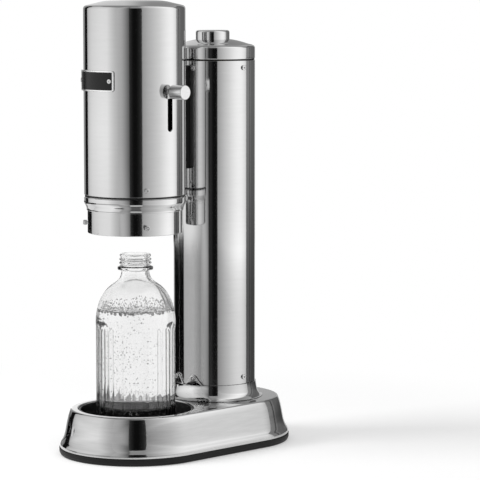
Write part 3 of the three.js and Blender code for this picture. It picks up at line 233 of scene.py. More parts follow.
@dataclass
class Skin:
    """Gathers the vertices and faces of one piece, in millimetres."""

    name: str
    mesh: bmesh.types.BMesh = field(default_factory=bmesh.new)

    def ring(self, places: Iterable[Sequence[float]]) -> Ring:
        """Adds one vertex for each place, and returns them in order."""
        return [self.mesh.verts.new(Vector(place) * MM) for place in places]

    def join(self, low: Ring, high: Ring, closed: bool = True) -> None:
        """Lays faces between two rings.

        Args:
            low: The first ring, or a single vertex.
            high: The second ring, or a single vertex.
            closed: Whether the last face joins the first.
        """
        count = max(len(low), len(high))
        if count == 1:
            return
        for i in range(count if closed else count - 1):
            j = (i + 1) % count
            corners = [low[i % len(low)], low[j % len(low)], high[j % len(high)], high[i % len(high)]]
            self.mesh.faces.new(list(dict.fromkeys(corners)))

    def chain(self, rings: Sequence[Ring], closed: bool = False) -> None:
        """Joins each ring to the next one.

        Args:
            rings: The rings in order.
            closed: Whether the last ring joins the first.
        """
        for low, high in zip(rings, rings[1:]):
            self.join(low, high)
        if closed:
            self.join(rings[-1], rings[0])

    def cap(self, *rings: Ring) -> None:
        """Closes each ring with one flat face."""
        for ring in rings:
            self.mesh.faces.new(ring)

    def turned(self, outline: Sequence[Point], centre_y: float, sides: int, closed: bool = False,
               reach: Callable[[float, float, float], float] | None = None) -> list[Ring]:
        """Turns an outline round an upright axis.

        Args:
            outline: Radius and height of each point.
            centre_y: Where the axis stands.
            sides: How many faces go round.
            closed: Whether the last point joins the first.
            reach: Gives the distance for an angle, a height and a radius, where the piece isn't round.

        Returns:
            The rings, one for each point. On the axis it is a single vertex.
        """
        rings = []
        for plain, height in outline:
            angles = [360 * i / sides for i in range(sides)] if plain > ON_AXIS else [0.0]
            places = [around(reach(a, height, plain) if reach else plain, a, height, centre_y) for a in angles]
            rings.append(self.ring(places))
        self.chain(rings, closed)
        return rings

    def oval(self, outline: Sequence[Point], half_steps: int, closed: bool = False) -> list[Ring]:
        """Takes an outline round the base's shape: half a circle at each end and a straight along each side.

        Args:
            outline: Distance from the middle line and height of each point.
            half_steps: How many faces each half circle has.
            closed: Whether the last point joins the first.

        Returns:
            The rings, one for each point.
        """
        ends = ((-90, HEAD_Y), (90, TOWER_Y))
        rings = [self.ring([around(reach, start + 180 * i / half_steps, height, centre_y)
                            for start, centre_y in ends for i in range(half_steps + 1)])
                 for reach, height in outline]
        self.chain(rings, closed)
        return rings

    def fill(self, *rings: Ring) -> None:
        """Fills the flat between rings.

        Args:
            *rings: The outer ring and the holes in it.
        """
        edges = []
        for ring in rings:
            for a, b in zip(ring, ring[1:] + ring[:1]):
                edges.append(self.mesh.edges.get((a, b)) or self.mesh.edges.new((a, b)))
        bmesh.ops.triangle_fill(self.mesh, edges=edges, use_beauty=True, use_dissolve=False)

    def piece(self, hard: float = HARD_EDGE, placed: Matrix | None = None, even: bool = True) -> Object:
        """Makes the Blender object.

        Args:
            hard: The angle in degrees from which an edge is hard.
            placed: Where the piece goes, if not where it was drawn.
            even: Whether its flats are kept flat where they meet a curve.

        Returns:
            The object, with smooth shading.
        """
        bmesh.ops.remove_doubles(self.mesh, verts=self.mesh.verts, dist=1e-7)
        bmesh.ops.recalc_face_normals(self.mesh, faces=self.mesh.faces)
        if placed is not None:
            self.mesh.transform(placed)
        obj = mesh_object(self.name, self.mesh)
        smooth(obj.data, hard)
        if even:
            obj.modifiers.new("even_shading", "WEIGHTED_NORMAL").keep_sharp = True
        return obj


def outward(angle: float, height: float, centre_y: float) -> Matrix:
    """Gives the matrix that turns what is drawn upright at the origin outwards from an upright axis."""
    lift = Matrix.Translation((0, centre_y * MM, height * MM))
    return lift @ Matrix.Rotation(math.radians(angle), 4, "Z") @ Matrix.Rotation(math.radians(90), 4, "X")


def cut_out(obj: Object, tool: Object) -> None:
    """Takes the shape of a tool out of a piece, and removes the tool.

    Args:
        obj: The piece.
        tool: The shape that is taken away.
    """
    obj.modifiers.clear()
    change = obj.modifiers.new("cut", "BOOLEAN")
    change.operation = "DIFFERENCE"
    change.solver = "EXACT"
    change.object = tool
    bpy.context.view_layer.update()
    shape = bpy.data.meshes.new_from_object(obj.evaluated_get(bpy.context.evaluated_depsgraph_get()))
    obj.modifiers.clear()
    obj.data = shape
    bpy.data.objects.remove(tool)


def keep_round(data: bpy.types.Mesh, centre_y: float, radii: Sequence[float]) -> None:
    """Gives the walls of a cut tube the normals of a true cylinder.

    Args:
        data: The tube's mesh.
        centre_y: Where its axis stands.
        radii: The radii of its walls.
    """
    smooth(data)
    normals = [Vector(n.vector) for n in data.corner_normals]
    for polygon in data.polygons:
        for loop in polygon.loop_indices:
            spot = data.vertices[data.loops[loop].vertex_index].co
            out = Vector((spot.x, spot.y - centre_y * MM, 0))
            facing = polygon.normal.dot(out.normalized())
            on_wall = min(abs(out.length - r * MM) for r in radii) < 5e-5
            if on_wall and abs(polygon.normal.z) < 0.02 and abs(facing) > 0.99:
                normals[loop] = out.normalized() * (1 if facing > 0 else -1)
    data.normals_split_custom_set(normals)


def shares_across(columns: int) -> list[float]:
    """Gives the places of a plate's columns across it, from -1 to 1 and closer at its ends."""
    return [-math.cos(math.pi * i / columns) for i in range(columns + 1)]


def curved_plate(skin: Skin, centre_y: float, middle: float, half: float, reach: Point,
                 edges: Callable[[float], Point], soft: float, columns: int) -> None:
    """Draws a thin plate that follows a cylinder, with softened front edges.

    Args:
        skin: What gathers the faces.
        centre_y: Where the cylinder's axis stands.
        middle: The angle of the plate's middle.
        half: Half of its width, in degrees.
        reach: Its back and front radius.
        edges: Gives its lowest and highest height for a share of the half width, from -1 to 1.
        soft: How far its front edges are softened.
        columns: How many faces go across.
    """
    inner, outer = reach
    shares = shares_across(columns)
    degree = math.radians(1) * outer
    rings = []
    for radius, inset in ((inner, 0.0), (outer - soft, 0.0), (outer - soft * 0.3, soft * 0.3), (outer, soft)):
        lows, highs = [], []
        for share in shares:
            low, high = edges(share)
            angle, centre = middle + share * (half - inset / degree), (low + high) / 2
            lows.append(around(radius, angle, min(low + inset, centre), centre_y))
            highs.append(around(radius, angle, max(high - inset, centre), centre_y))
        rings.append(skin.ring(lows + highs[::-1]))
    skin.chain(rings)
    for ring in (rings[0], rings[-1]):
        skin.join(ring[:columns + 1], ring[columns + 1:][::-1], closed=False)


# Shader nodes

def add_node(tree: Tree, kind: str, inputs: dict[str | int, object] | None = None,
             **settings: object) -> bpy.types.Node:
    """Adds a shader node.

    Args:
        tree: The node tree.
        kind: The node's type, without the words that all of them start with.
        inputs: A number, a colour or another node's socket for each input, by its name or place.
        **settings: The node's own settings.

    Returns:
        The node.
    """
    node = tree.nodes.new("ShaderNode" + kind)
    for title, value in settings.items():
        setattr(node, title, value)
    for key, value in (inputs or {}).items():
        if isinstance(value, Socket):
            tree.links.new(value, node.inputs[key])
        else:
            node.inputs[key].default_value = value
    return node


def connect(tree: Tree, node: bpy.types.Node, **sockets: Socket) -> None:
    """Joins each socket to the node's input of that name, with _ for each space in it."""
    for title, socket in sockets.items():
        tree.links.new(socket, node.inputs[title.replace("_", " ")])


def math_node(tree: Tree, kind: str, *terms: object) -> Socket:
    """Adds one sum of sockets or numbers to a node tree, by Blender's name of the sum, and gives its result."""
    return add_node(tree, "Math", dict(enumerate(terms)), operation=kind).outputs[0]


def noise_node(tree: Tree, stretch: Place, scale: object, detail: float) -> Socket:
    """Adds noise that sits on the piece.

    Args:
        tree: The node tree.
        stretch: How much finer the noise is along each axis.
        scale: A socket or a number.
        detail: How many finer layers it has.

    Returns:
        The socket with the noise, from 0 to 1.
    """
    places = add_node(tree, "TexCoord").outputs["Object"]
    stretched = add_node(tree, "Mapping", {"Vector": places, "Scale": stretch}).outputs["Vector"]
    return add_node(tree, "TexNoise", {"Vector": stretched, "Scale": scale, "Detail": detail}).outputs[0]


def tone_ramp(tree: Tree, driver: Socket, low: float, high: float, span: Point = (0.3, 0.7)) -> Socket:
    """Turns a mask into a grey between two tones.

    Args:
        tree: The material's nodes.
        driver: The mask.
        low: The tone where the mask is low.
        high: The tone where the mask is high.
        span: Where the mask counts as low and as high.

    Returns:
        The socket with the colour.
    """
    ramp = add_node(tree, "ValToRGB", {0: driver})
    for stop, place, tone in zip(ramp.color_ramp.elements, span, (low, high)):
        stop.position = place
        stop.color = (tone, tone, tone, 1.0)
    return ramp.outputs[0]


def relief(tree: Tree, height: Socket, depth: float) -> Socket:
    """Turns a height into a normal, for relief as deep as a number of metres."""
    return add_node(tree, "Bump", {"Distance": depth, "Height": height}).outputs[0]


def seen_rays(tree: Tree) -> Socket:
    """Marks the rays that show the background: the camera's own, and those that metal and glass send on.

    Args:
        tree: The nodes of a material or of the world.

    Returns:
        The socket with the mask.
    """
    rays = add_node(tree, "LightPath").outputs
    direct = math_node(tree, "MAXIMUM", rays["Is Camera Ray"], rays["Is Glossy Ray"])
    return math_node(tree, "MAXIMUM", direct, rays["Is Transmission Ray"])


def fade(tree: Tree, distance: Socket, span: Point) -> Socket:
    """Gives a soft step from 0 to 1 over a span of distance."""
    limits = {"Value": distance, "From Min": span[0], "From Max": span[1]}
    return add_node(tree, "MapRange", limits, interpolation_type="SMOOTHSTEP").outputs[0]


def stage_material(name: str) -> tuple[bpy.types.Material, Tree]:
    """Starts a material without any shader.

    Args:
        name: The material's name.

    Returns:
        The material and its nodes.
    """
    material = bpy.data.materials.new(name)
    material.use_nodes = True
    material.node_tree.nodes.clear()
    return material, material.node_tree


# Effects that several materials share

def new_group(name: str, inputs: Sequence[str],
              outputs: Sequence[str]) -> tuple[Tree, bpy.types.NodeOutputs, bpy.types.Node]:
    """Starts a group of shader nodes that gives masks and heights over a surface.

    Args:
        name: The group's name.
        inputs: The names of the values that each material gives it.
        outputs: The names of what it puts out.

    Returns:
        The group, the values that it is given and its output node.
    """
    tree = bpy.data.node_groups.new(name, "ShaderNodeTree")
    for side, titles in (("INPUT", inputs), ("OUTPUT", outputs)):
        for title in titles:
            tree.interface.new_socket(title, in_out=side, socket_type="NodeSocketFloat")
    return tree, tree.nodes.new("NodeGroupInput").outputs, tree.nodes.new("NodeGroupOutput")


def brushing_group() -> Tree:
    """Makes the fine lines that polishing leaves along a steel surface.

    Returns:
        The group, with the lines' height and tone.
    """
    tree, given, result = new_group("fine_brushing", ["Fineness"], ["Height", "Tone"])
    fine = noise_node(tree, (1.0, 1.0, 60.0), given["Fineness"], 3.0)
    broad = noise_node(tree, (1.0, 1.0, 9.0), given["Fineness"], 1.0)
    mean = math_node(tree, "MULTIPLY", math_node(tree, "ADD", fine, broad), 0.5)
    connect(tree, result, Height=fine, Tone=mean)
    return tree


def handling_group() -> Tree:
    """Makes the faint smudges and rubbed places that hands leave.

    Returns:
        The group, with the mask of the smudges.
    """
    tree, given, result = new_group("handling_marks", ["Size", "Amount"], ["Smudges"])
    cloud = noise_node(tree, (1.0, 1.0, 0.6), given["Size"], 4.0)
    threshold, contrast = 0.45, 3.0
    patches = math_node(tree, "MULTIPLY", math_node(tree, "SUBTRACT", cloud, threshold), contrast)
    bounded = math_node(tree, "MINIMUM", math_node(tree, "MAXIMUM", patches, 0.0), 1.0)
    connect(tree, result, Smudges=math_node(tree, "MULTIPLY", bounded, given["Amount"]))
    return tree


def grain_group() -> Tree:
    """Makes the fine grain of moulded plastic, rubber and cast metal.

    Returns:
        The group, with the grain's height and shade.
    """
    tree, given, result = new_group("moulded_grain", ["Fineness"], ["Height", "Shade"])
    grain = noise_node(tree, (1.0, 1.0, 1.0), given["Fineness"], 2.0)
    flow = noise_node(tree, (1.0, 1.0, 1.0), 25.0, 2.0)
    mean = math_node(tree, "MULTIPLY", math_node(tree, "ADD", grain, flow), 0.5)
    connect(tree, result, Height=grain, Shade=mean)
    return tree


def dust_group() -> Tree:
    """Makes the thin dust that settles on what faces up.

    Returns:
        The group, with the mask of the dust.
    """
    tree, given, result = new_group("settled_dust", ["Amount"], ["Dust"])
    normal = add_node(tree, "NewGeometry").outputs["Normal"]
    upward = add_node(tree, "SeparateXYZ", {0: normal}).outputs["Z"]
    up = math_node(tree, "POWER", math_node(tree, "MAXIMUM", upward, 0.0), 4.0)
    speckle = noise_node(tree, (1.0, 1.0, 1.0), 600.0, 3.0)
    amount = math_node(tree, "MULTIPLY", speckle, given["Amount"])
    connect(tree, result, Dust=math_node(tree, "MULTIPLY", up, amount))
    return tree


class Effects:
    """Holds the shared shader groups and places them in materials."""

    def __init__(self) -> None:
        """Builds each group once."""
        self.groups = {tree.name: tree for tree in (brushing_group(), handling_group(), grain_group(), dust_group())}

    def place(self, tree: Tree, name: str, **values: float) -> bpy.types.NodeOutputs:
        """Puts a group with its own values in a material, and gives what it puts out."""
        return add_node(tree, "Group", values, node_tree=self.groups[name]).outputs


@dataclass(frozen=True)
class Look:
    """What every finish has: its name, and how its material is started."""

    name: str

    def start(self, **plain: float) -> tuple[bpy.types.Material, Tree, bpy.types.Node]:
        """Starts the material with one Principled shader.

        Args:
            **plain: The shader's plain values, with _ for each space in their names.

        Returns:
            The material, its nodes and the shader.
        """
        material = bpy.data.materials.new(self.name)
        material.use_nodes = True
        shader = material.node_tree.nodes["Principled BSDF"]
        for title, value in plain.items():
            shader.inputs[title.replace("_", " ")].default_value = value
        return material, material.node_tree, shader


@dataclass(frozen=True)
class Metal(Look):
    """A metal finish: its grey, its gloss and the lines that its tooling leaves."""

    tones: Point
    gloss: Point
    fineness: float
    depth: float
    smudges: float
    tint: Place | None = None

    def material(self, effects: Effects) -> bpy.types.Material:
        """Builds the material.

        Args:
            effects: The shared shader groups.

        Returns:
            The material.
        """
        material, tree, shader = self.start(Metallic=1.0)
        lines = effects.place(tree, "fine_brushing", Fineness=self.fineness)
        marks = effects.place(tree, "handling_marks", Size=28.0, Amount=self.smudges)
        colour = tone_ramp(tree, lines["Tone"], *self.tones)
        if self.tint:
            tinted = {"Factor": 1.0, "A": colour, "B": (*self.tint, 1.0)}
            colour = add_node(tree, "Mix", tinted, data_type="RGBA", blend_type="MULTIPLY").outputs["Result"]
        low, high = self.gloss
        worn = math_node(tree, "ADD", lines["Tone"], marks["Smudges"])
        connect(tree, shader, Base_Color=colour, Roughness=math_node(tree, "MULTIPLY_ADD", worn, high - low, low),
                Normal=relief(tree, lines["Height"], self.depth))
        return material


@dataclass(frozen=True)
class Moulded(Look):
    """A plastic, rubber or enamel finish: its grey, gloss, grain and dust."""

    tones: Point
    gloss: Point
    fineness: float
    depth: float
    dust: float
    shine: float = 0.5

    def material(self, effects: Effects) -> bpy.types.Material:
        """Builds the material.

        Args:
            effects: The shared shader groups.

        Returns:
            The material.
        """
        material, tree, shader = self.start(Specular_IOR_Level=self.shine)
        grain = effects.place(tree, "moulded_grain", Fineness=self.fineness)
        dust = effects.place(tree, "settled_dust", Amount=self.dust)
        mask = math_node(tree, "ADD", grain["Shade"], dust["Dust"])
        low, high = self.gloss
        connect(tree, shader, Base_Color=tone_ramp(tree, mask, *self.tones, (0.3, 0.9)),
                Roughness=math_node(tree, "MULTIPLY_ADD", mask, high - low, low),
                Normal=relief(tree, grain["Height"], self.depth))
        return material


@dataclass(frozen=True)
class Clear(Look):
    """A clear finish, with the faint waves that glass has.

    The steel doesn't mirror it: to the first mirrored ray it isn't there.
    """

    tone: float
    bending: float
    wave: float
    fineness: float

    def material(self, effects: Effects) -> bpy.types.Material:
        """Builds the material.

        Args:
            effects: The shared shader groups.

        Returns:
            The material.
        """
        material, tree, shader = self.start(Transmission_Weight=1.0, IOR=self.bending, Metallic=0.0)
        grain = effects.place(tree, "moulded_grain", Fineness=self.fineness)
        marks = effects.place(tree, "handling_marks", Size=40.0, Amount=0.02)
        rays = add_node(tree, "LightPath").outputs
        first = math_node(tree, "COMPARE", rays["Ray Depth"], 1.0, 0.1)
        mirrored = math_node(tree, "MULTIPLY", rays["Is Reflection Ray"], first)
        connect(tree, shader, Base_Color=tone_ramp(tree, grain["Shade"], self.tone, min(self.tone * 1.01, 1.0)),
                Roughness=marks["Smudges"], Normal=relief(tree, grain["Height"], self.wave),
                Alpha=math_node(tree, "SUBTRACT", 1.0, mirrored))
        return material


class Wardrobe:
    """Makes each finish once and dresses pieces in it."""

    def __init__(self) -> None:
        """Makes the materials."""
        effects = Effects()
        finishes = {
            Finish.POLISHED: Metal("mirror_polished_steel", (0.61, 0.635), (0.05, 0.1), 40.0, 3e-8, 0.1),
            Finish.BRUSHED: Metal("brushed_base_steel", (0.53, 0.59), (0.05, 0.1), 40.0, 1.5e-7, 0.12),
            Finish.SATIN: Metal("satin_turned_steel", (0.60, 0.68), (0.2, 0.34), 120.0, 2e-6, 0.2),
            Finish.TURNED: Metal("fine_turned_steel", (0.58, 0.64), (0.1, 0.18), 120.0, 1e-6, 0.2),
            # Partly painted highlight: the frame is polished steel, and its tones sit far above the other steel's to
            # paint the white glint along its bevel.
            Finish.RIM: Metal("bright_plate_rim", (0.88, 0.94), (0.2, 0.3), 120.0, 1e-6, 0.1),
            Finish.PLASTIC: Moulded("black_moulded_plastic", (0.004, 0.014), (0.25, 0.4), 1800.0, 1e-5, 0.12, 0.3),
            Finish.MATT: Moulded("matt_black_paint", (0.002, 0.006), (0.5, 0.6), 1200.0, 1e-5, 0.05, 0.12),
            Finish.ENAMEL: Moulded("black_enamelled_face", (0.006, 0.012), (0.18, 0.3), 900.0, 2e-6, 0.05, 0.22),
            Finish.RUBBER: Moulded("matt_black_rubber", (0.004, 0.014), (0.45, 0.65), 1500.0, 3e-5, 0.25, 0.25),
            Finish.GEAR: Moulded("pale_gear_plastic", (0.68, 0.78), (0.35, 0.5), 900.0, 1e-5, 0.1),
            Finish.BRASS: Metal("machined_brass", (0.7, 0.85), (0.2, 0.35), 150.0, 3e-6, 0.2, (0.85, 0.66, 0.34)),
            Finish.ALUMINIUM: Metal("plain_aluminium", (0.55, 0.68), (0.3, 0.45), 90.0, 4e-6, 0.2),
            # The glass and water tones under 1 are partly their own faint tint and partly painted shade, which greys
            # what is seen through the bottle.
            Finish.GLASS: Clear("clear_pressed_glass", 0.955, 1.5, 1.2e-5, 60.0),
            Finish.WATER: Clear("clear_sparkling_water", 0.95, 1.333, 2e-6, 40.0),
            # The bubbles' low tone is painted shade: it darkens the clear gas to the dark rims that bubbles show.
            Finish.BUBBLE: Clear("gas_bubbles", 0.3, 0.75, 1e-6, 300.0),
        }
        self.materials = {finish: look.material(effects) for finish, look in finishes.items()}

    def dress(self, obj: Object, finish: Finish) -> None:
        """Gives a piece the material of its finish."""
        obj.data.materials.clear()
        obj.data.materials.append(self.materials[finish])


@dataclass
class SubAssembly:
    """What every sub-assembly shares: its finishes and how its pieces are handed in."""

    wardrobe: Wardrobe

    def hand_in(self, obj: Object, finish: Finish, body: str, *nodes: str) -> Object:
        """Dresses a piece, lets it ride on its body and names the CAD nodes it stands for.

        Args:
            obj: The piece.
            finish: Its finish.
            body: The body that carries it.
            *nodes: The CAD nodes that it replaces.

        Returns:
            The piece.
        """
        self.wardrobe.dress(obj, finish)
        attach(obj, body)
        if nodes:
            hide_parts(*nodes)
        LOG.info("%s rides on %s in %s and stands for %s", obj.name, body, finish.value, nodes or "no node")
        return obj

    def lathe(self, name: str, corners: Sequence[Corner], centre_y: float, sides: Sides, steps: int = 5,
              closed: bool = True, placed: Matrix | None = None) -> Object:
        """Turns one piece.

        Args:
            name: The piece's name.
            corners: Its outline, with the rounding of the corners that have one.
            centre_y: Where its axis stands.
            sides: How many faces go round.
            steps: How many edges each rounding has.
            closed: Whether the outline is a loop.
            placed: Where the piece goes, if not where it is drawn.

        Returns:
            The piece.
        """
        skin = Skin(name)
        skin.turned(rounded(corners, steps, closed), centre_y, sides, closed)
        return skin.piece(placed=placed)


@dataclass(frozen=True)
class Screw:
    """A round screw head with a six-sided socket."""

    radius: float = 2.6
    height: float = 1.4
    socket: float = 1.15
    depth: float = 0.9
    edge: float = 0.45
    shank: float = 1.2
    bite: float = 1.6
    countersink: float = 0.25
    drill_tip: float = 0.3

    def piece(self, name: str, seat: float, angle: float, height: float, centre_y: float) -> Object:
        """Builds one screw.

        Args:
            name: The piece's name.
            seat: Radius of the surface that the head sits on.
            angle: Where it points.
            height: Its height over the ground.
            centre_y: Where the upright axis stands.

        Returns:
            The screw.
        """
        skin = Skin(name)
        top = seat + self.height
        corners = [(0, seat - self.bite), (self.shank, seat - self.bite, 0.2), (self.shank, seat),
                   (self.radius, seat, 0.1), (self.radius, top, self.edge), (self.socket + self.countersink, top)]
        head = skin.turned(rounded(corners, 4), 0, Sides.SCREW)[-1]
        mouth, floor = (skin.ring(self.six_sided(360 * i / Sides.SCREW, level) for i in range(Sides.SCREW))
                        for level in (top, top - self.depth))
        skin.chain([head, mouth, floor, skin.ring([(0, 0, top - self.depth - self.drill_tip)])])
        return skin.piece(placed=outward(angle, height, centre_y))

    def six_sided(self, angle: float, height: float) -> Place:
        """Gives a place on the socket's wall, with the screw's axis upright at the origin."""
        reach = self.socket * math.cos(math.radians(30)) / math.cos(math.radians(angle % 60 - 30))
        return around(reach, angle, height, 0)


@dataclass
class Base(SubAssembly):
    """The rounded oblong base: steel shell, rubber foot ring, bottle cup and pad."""

    end_steps: int = 72
    foot_steps: int = 60
    foot_reach: float = 79.0
    foot_width: float = 9.0
    foot_height: float = 7.0
    foot_gap: float = 0.3
    lip: float = 78.2
    wall: float = 1.5
    top: float = 47.0
    edge: float = 2.6
    well: float = 59.3
    well_roll: float = 1.2
    well_skirt: float = 6.0
    tower_hole: float = 38.0

    def build(self) -> None:
        """Builds and dresses the base's pieces."""
        self.hand_in(self.shell(), Finish.BRUSHED, "stand", "base_shell")
        self.hand_in(self.foot(), Finish.RUBBER, "stand", "foot_ring")
        self.hand_in(self.cup(), Finish.PLASTIC, "stand", "bottle_cup")
        self.hand_in(self.pad(), Finish.RUBBER, "stand", "bottle_pad")

    def side(self, inset: float) -> list[Point]:
        """Draws the base's side from its lip to the flat on top.

        Args:
            inset: How far inside the outer surface it lies.

        Returns:
            Distance from the middle line and height of each point.
        """
        bottom, flank_top = self.foot_height + self.foot_gap, self.top - self.edge
        lip = rounded([(self.lip - 1.2, bottom), (self.lip, bottom, 0.5), (self.lip, bottom + 2.6)], 3)
        flank = flowing([(self.lip, bottom + 3.0), (77.2, 12.6), (75.4, 15.6), (73.6, 20.4), (72.3, 26.5),
                         (71.0, 33.5), (69.4, 40.2), (68.0, flank_top)], 4)
        turn = rounded([(68.0, flank_top - 0.5), (67.3, self.top, self.edge), (60, self.top)], 7)
        return [(reach - inset, height - (inset if height > self.top - 3 else 0))
                for reach, height in lip[1:-1] + flank + turn[1:-1]]

    def shell(self) -> Object:
        """Makes the pressed steel shell with its well and the hole under the tower.

        Returns:
            The shell.
        """
        skin = Skin("base_pressing")
        outer, inner = (skin.oval(self.side(inset), self.end_steps) for inset in (0, self.wall))
        skin.join(outer[0], inner[0])
        under, skirt, back = self.top - self.wall, self.top - self.well_skirt, self.well + self.wall
        rim = rounded([(self.well + self.well_roll + 0.01, self.top), (self.well, self.top, self.well_roll),
                       (self.well, skirt, 0.3), (back, skirt, 0.3), (back, under)], 6)
        well = skin.turned(rim, HEAD_Y, Sides.RING)
        hole = skin.turned([(self.tower_hole, self.top), (self.tower_hole, under)], TOWER_Y, Sides.SMALL)
        skin.fill(outer[-1], well[0], hole[0])
        skin.fill(inner[-1], well[-1], hole[-1])
        return skin.piece()

    def foot(self) -> Object:
        """Makes the rubber ring that the machine stands on.

        Returns:
            The ring.
        """
        skin = Skin("rubber_foot")
        low, high = self.foot_reach - self.foot_width, self.foot_height
        skin.oval(rounded([(low, 0, 0.8), (self.foot_reach - 1.4, 0, 1.6), (self.foot_reach, 3.4, 1.5),
                           (self.foot_reach, high, 0.5), (low, high, 0.5)], closed=True), self.foot_steps, closed=True)
        return skin.piece(hard=60)

    def cup(self) -> Object:
        """Makes the black cup in the well."""
        corners = [(0, 9.6), (56.4, 9.6, 2.0), (59.0, 46.0, 0.6), (57.0, 46.0, 0.6), (54.4, 14.6, 3.0),
                   (41.5, 13.0, 0.6), (41.0, 14.4, 0.5), (40.0, 14.4, 0.4), (39.6, 13.0, 0.3), (0, 13.0)]
        return self.lathe("bottle_well_cup", corners, HEAD_Y, Sides.RING, closed=False)

    def pad(self) -> Object:
        """Makes the grooved rubber pad that the bottle stands on.

        Returns:
            The pad.
        """
        top, groove, edge = 16.3, 15.1, 0.2
        corners = [(0, 13.3), (39.0, 13.3, 0.5), (39.0, top, 0.7)]
        for outer in (32.5, 21.0):
            corners += [(outer, top, edge), (outer - 0.3, groove, edge), (outer - 1.7, groove, edge),
                        (outer - 2.0, top, edge)]
        return self.lathe("ribbed_pad", [*corners, (0, top)], HEAD_Y, Sides.SMALL, closed=False)


@dataclass
class Tower(SubAssembly):
    """The gas tower: foot ring with tabs, tube, seam ring, domed cap, screws, push button and its spring."""

    radius: float = 43.0
    wall: float = 1.2
    seam: float = 63.4
    top: float = 401.3
    screw_seat: float = 43.3
    tab_seat: float = 44.9
    tab_front: float = 44.6
    tab_half: float = 10.0
    tab_tip: float = 3.4
    tab_sunk: float = 0.6
    low_screws: float = 70.5
    high_screws: float = 394.0
    tab_angles: Point = (-15.0, 15.0)
    screw_angles: tuple[float, ...] = (-90.0, -15.0, 15.0, 90.0)
    button_radius: float = 17.7
    button_y: float = TOWER_Y - 2.0
    button_travel: float = 4.0
    coil_radius: float = 7.3
    coil_turns: int = 4
    wire: float = 0.7
    wire_sides: int = 10

    def build(self) -> None:
        """Builds and dresses the tower's pieces."""
        self.hand_in(self.foot_ring(), Finish.POLISHED, "stand", "tower_foot_ring")
        for i, angle in enumerate(self.tab_angles, 1):
            self.hand_in(self.tab(f"tower_foot_tab_{i}", angle), Finish.POLISHED, "stand", "tower_foot_ring")
        self.hand_in(self.tube(), Finish.POLISHED, "stand", "tower_tube")
        self.hand_in(self.seam_ring(), Finish.PLASTIC, "stand", "cap_ring")
        self.hand_in(self.cap(), Finish.POLISHED, "stand", "tower_cap")
        self.hand_in(self.button(), Finish.POLISHED, "button", "push_button")
        self.press(self.hand_in(self.spring(), Finish.SATIN, "button", "button_spring"))
        for i, angle in enumerate(self.screw_angles, 1):
            low_seat = self.tab_seat if angle in self.tab_angles else self.screw_seat
            low = Screw().piece(f"tower_low_screw_{i}", low_seat, angle, self.low_screws, TOWER_Y)
            self.hand_in(low, Finish.SATIN, "stand", f"tower_lower_screw_{i}")
            high = Screw().piece(f"tower_high_screw_{i}", self.screw_seat, angle, self.high_screws, TOWER_Y)
            self.hand_in(high, Finish.SATIN, "stand", f"tower_upper_screw_{i}")

    def foot_ring(self) -> Object:
        """Makes the ring that flares from the tube's foot onto the base.

        Returns:
            The ring.
        """
        flare = flowing([(43.9, 62.8), (44.0, 61.0), (44.5, 57.5), (45.5, 53.0), (47.4, 49.8), (49.6, 48.0),
                         (51.0, 47.35)])
        outline = [(39.5, 47.3), (39.5, 79.0), (41.4, 79.0), (41.4, 63.0), (43.4, 63.0), *flare]
        return self.lathe("tower_foot_flare", outline, TOWER_Y, Sides.RING)

    def tab(self, name: str, angle: float) -> Object:
        """Makes one of the upright tabs that a screw holds to the tube.

        Args:
            name: The piece's name.
            angle: Where it stands.

        Returns:
            The tab.
        """
        half, drop, tip = self.tab_half, self.low_screws - self.seam, self.tab_tip
        slope = math.acos(tip / math.hypot(half, drop)) - math.atan2(drop, half)
        start, rise_there = tip * math.cos(slope), tip * math.sin(slope)

        def edges(share: float) -> Point:
            """Finds the tab's lowest and highest height.

            Args:
                share: The share of its half width, from -1 to 1.

            Returns:
                The two heights.
            """
            across = abs(share) * half
            if across <= start:
                rise = math.sqrt(tip ** 2 - across ** 2)
            else:
                rise = rise_there - (across - start) * (rise_there + drop) / (half - start)
            return self.seam - self.tab_sunk, self.low_screws + max(rise, -drop + 0.1)

        skin = Skin(name)
        width = math.degrees(half / self.tab_front)
        curved_plate(skin, TOWER_Y, angle, width, (self.screw_seat, self.tab_front), edges, soft=0.35, columns=32)
        return skin.piece(hard=40)

    def tube(self) -> Object:
        """Makes the tower's tube.

        Returns:
            The tube.
        """
        inner = self.radius - self.wall
        corners = [(self.radius, self.seam, 0.25), (self.radius, self.top, 0.25), (inner, self.top, 0.2),
                   (inner, self.seam, 0.2)]
        return self.lathe("tower_sleeve", corners, TOWER_Y, Sides.TUBE)

    def seam_ring(self) -> Object:
        """Makes the thin black ring under the cap."""
        corners = [(38.5, 401.6, 0.1), (42.5, 401.6, 0.3), (42.5, 402.6, 0.3), (38.5, 402.6, 0.1)]
        return self.lathe("cap_seam", corners, TOWER_Y, Sides.SEAM)

    def cap(self) -> Object:
        """Makes the domed cap with the hole for the button.

        Returns:
            The cap.
        """
        dome = flowing([(43.0, 403.4), (43.0, 413.2), (42.7, 415.0), (41.8, 416.2), (39.4, 417.3), (35.6, 418.2),
                        (30.2, 419.9), (25.0, 421.3), (19.6, 422.4)])
        outline = [(41.5, 402.9), (42.7, 402.9), *dome, (18.4, 422.6), (18.0, 422.3), (18.0, 421.0), (24.8, 419.8),
                   (30.0, 418.3), (35.4, 416.7), (38.6, 415.8), (40.6, 414.6), (41.5, 412.9)]
        return self.lathe("tower_dome", outline, TOWER_Y, Sides.RING)

    def button(self) -> Object:
        """Makes the push button.

        Returns:
            The button.
        """
        r, collar, bore = self.button_radius, 19.9, 15.7
        corners = [(bore, 417.6, 0.2), (collar, 417.6, 0.2), (collar, 419.6, 0.2), (r, 419.6, 0.1), (r, 432.2, 2.3),
                   (6.0, 432.3, 6.0), (0, 432.3), (0, 430.0), (bore, 430.0, 1.5)]
        return self.lathe("button_cap", corners, self.button_y, Sides.SMALL, 7)

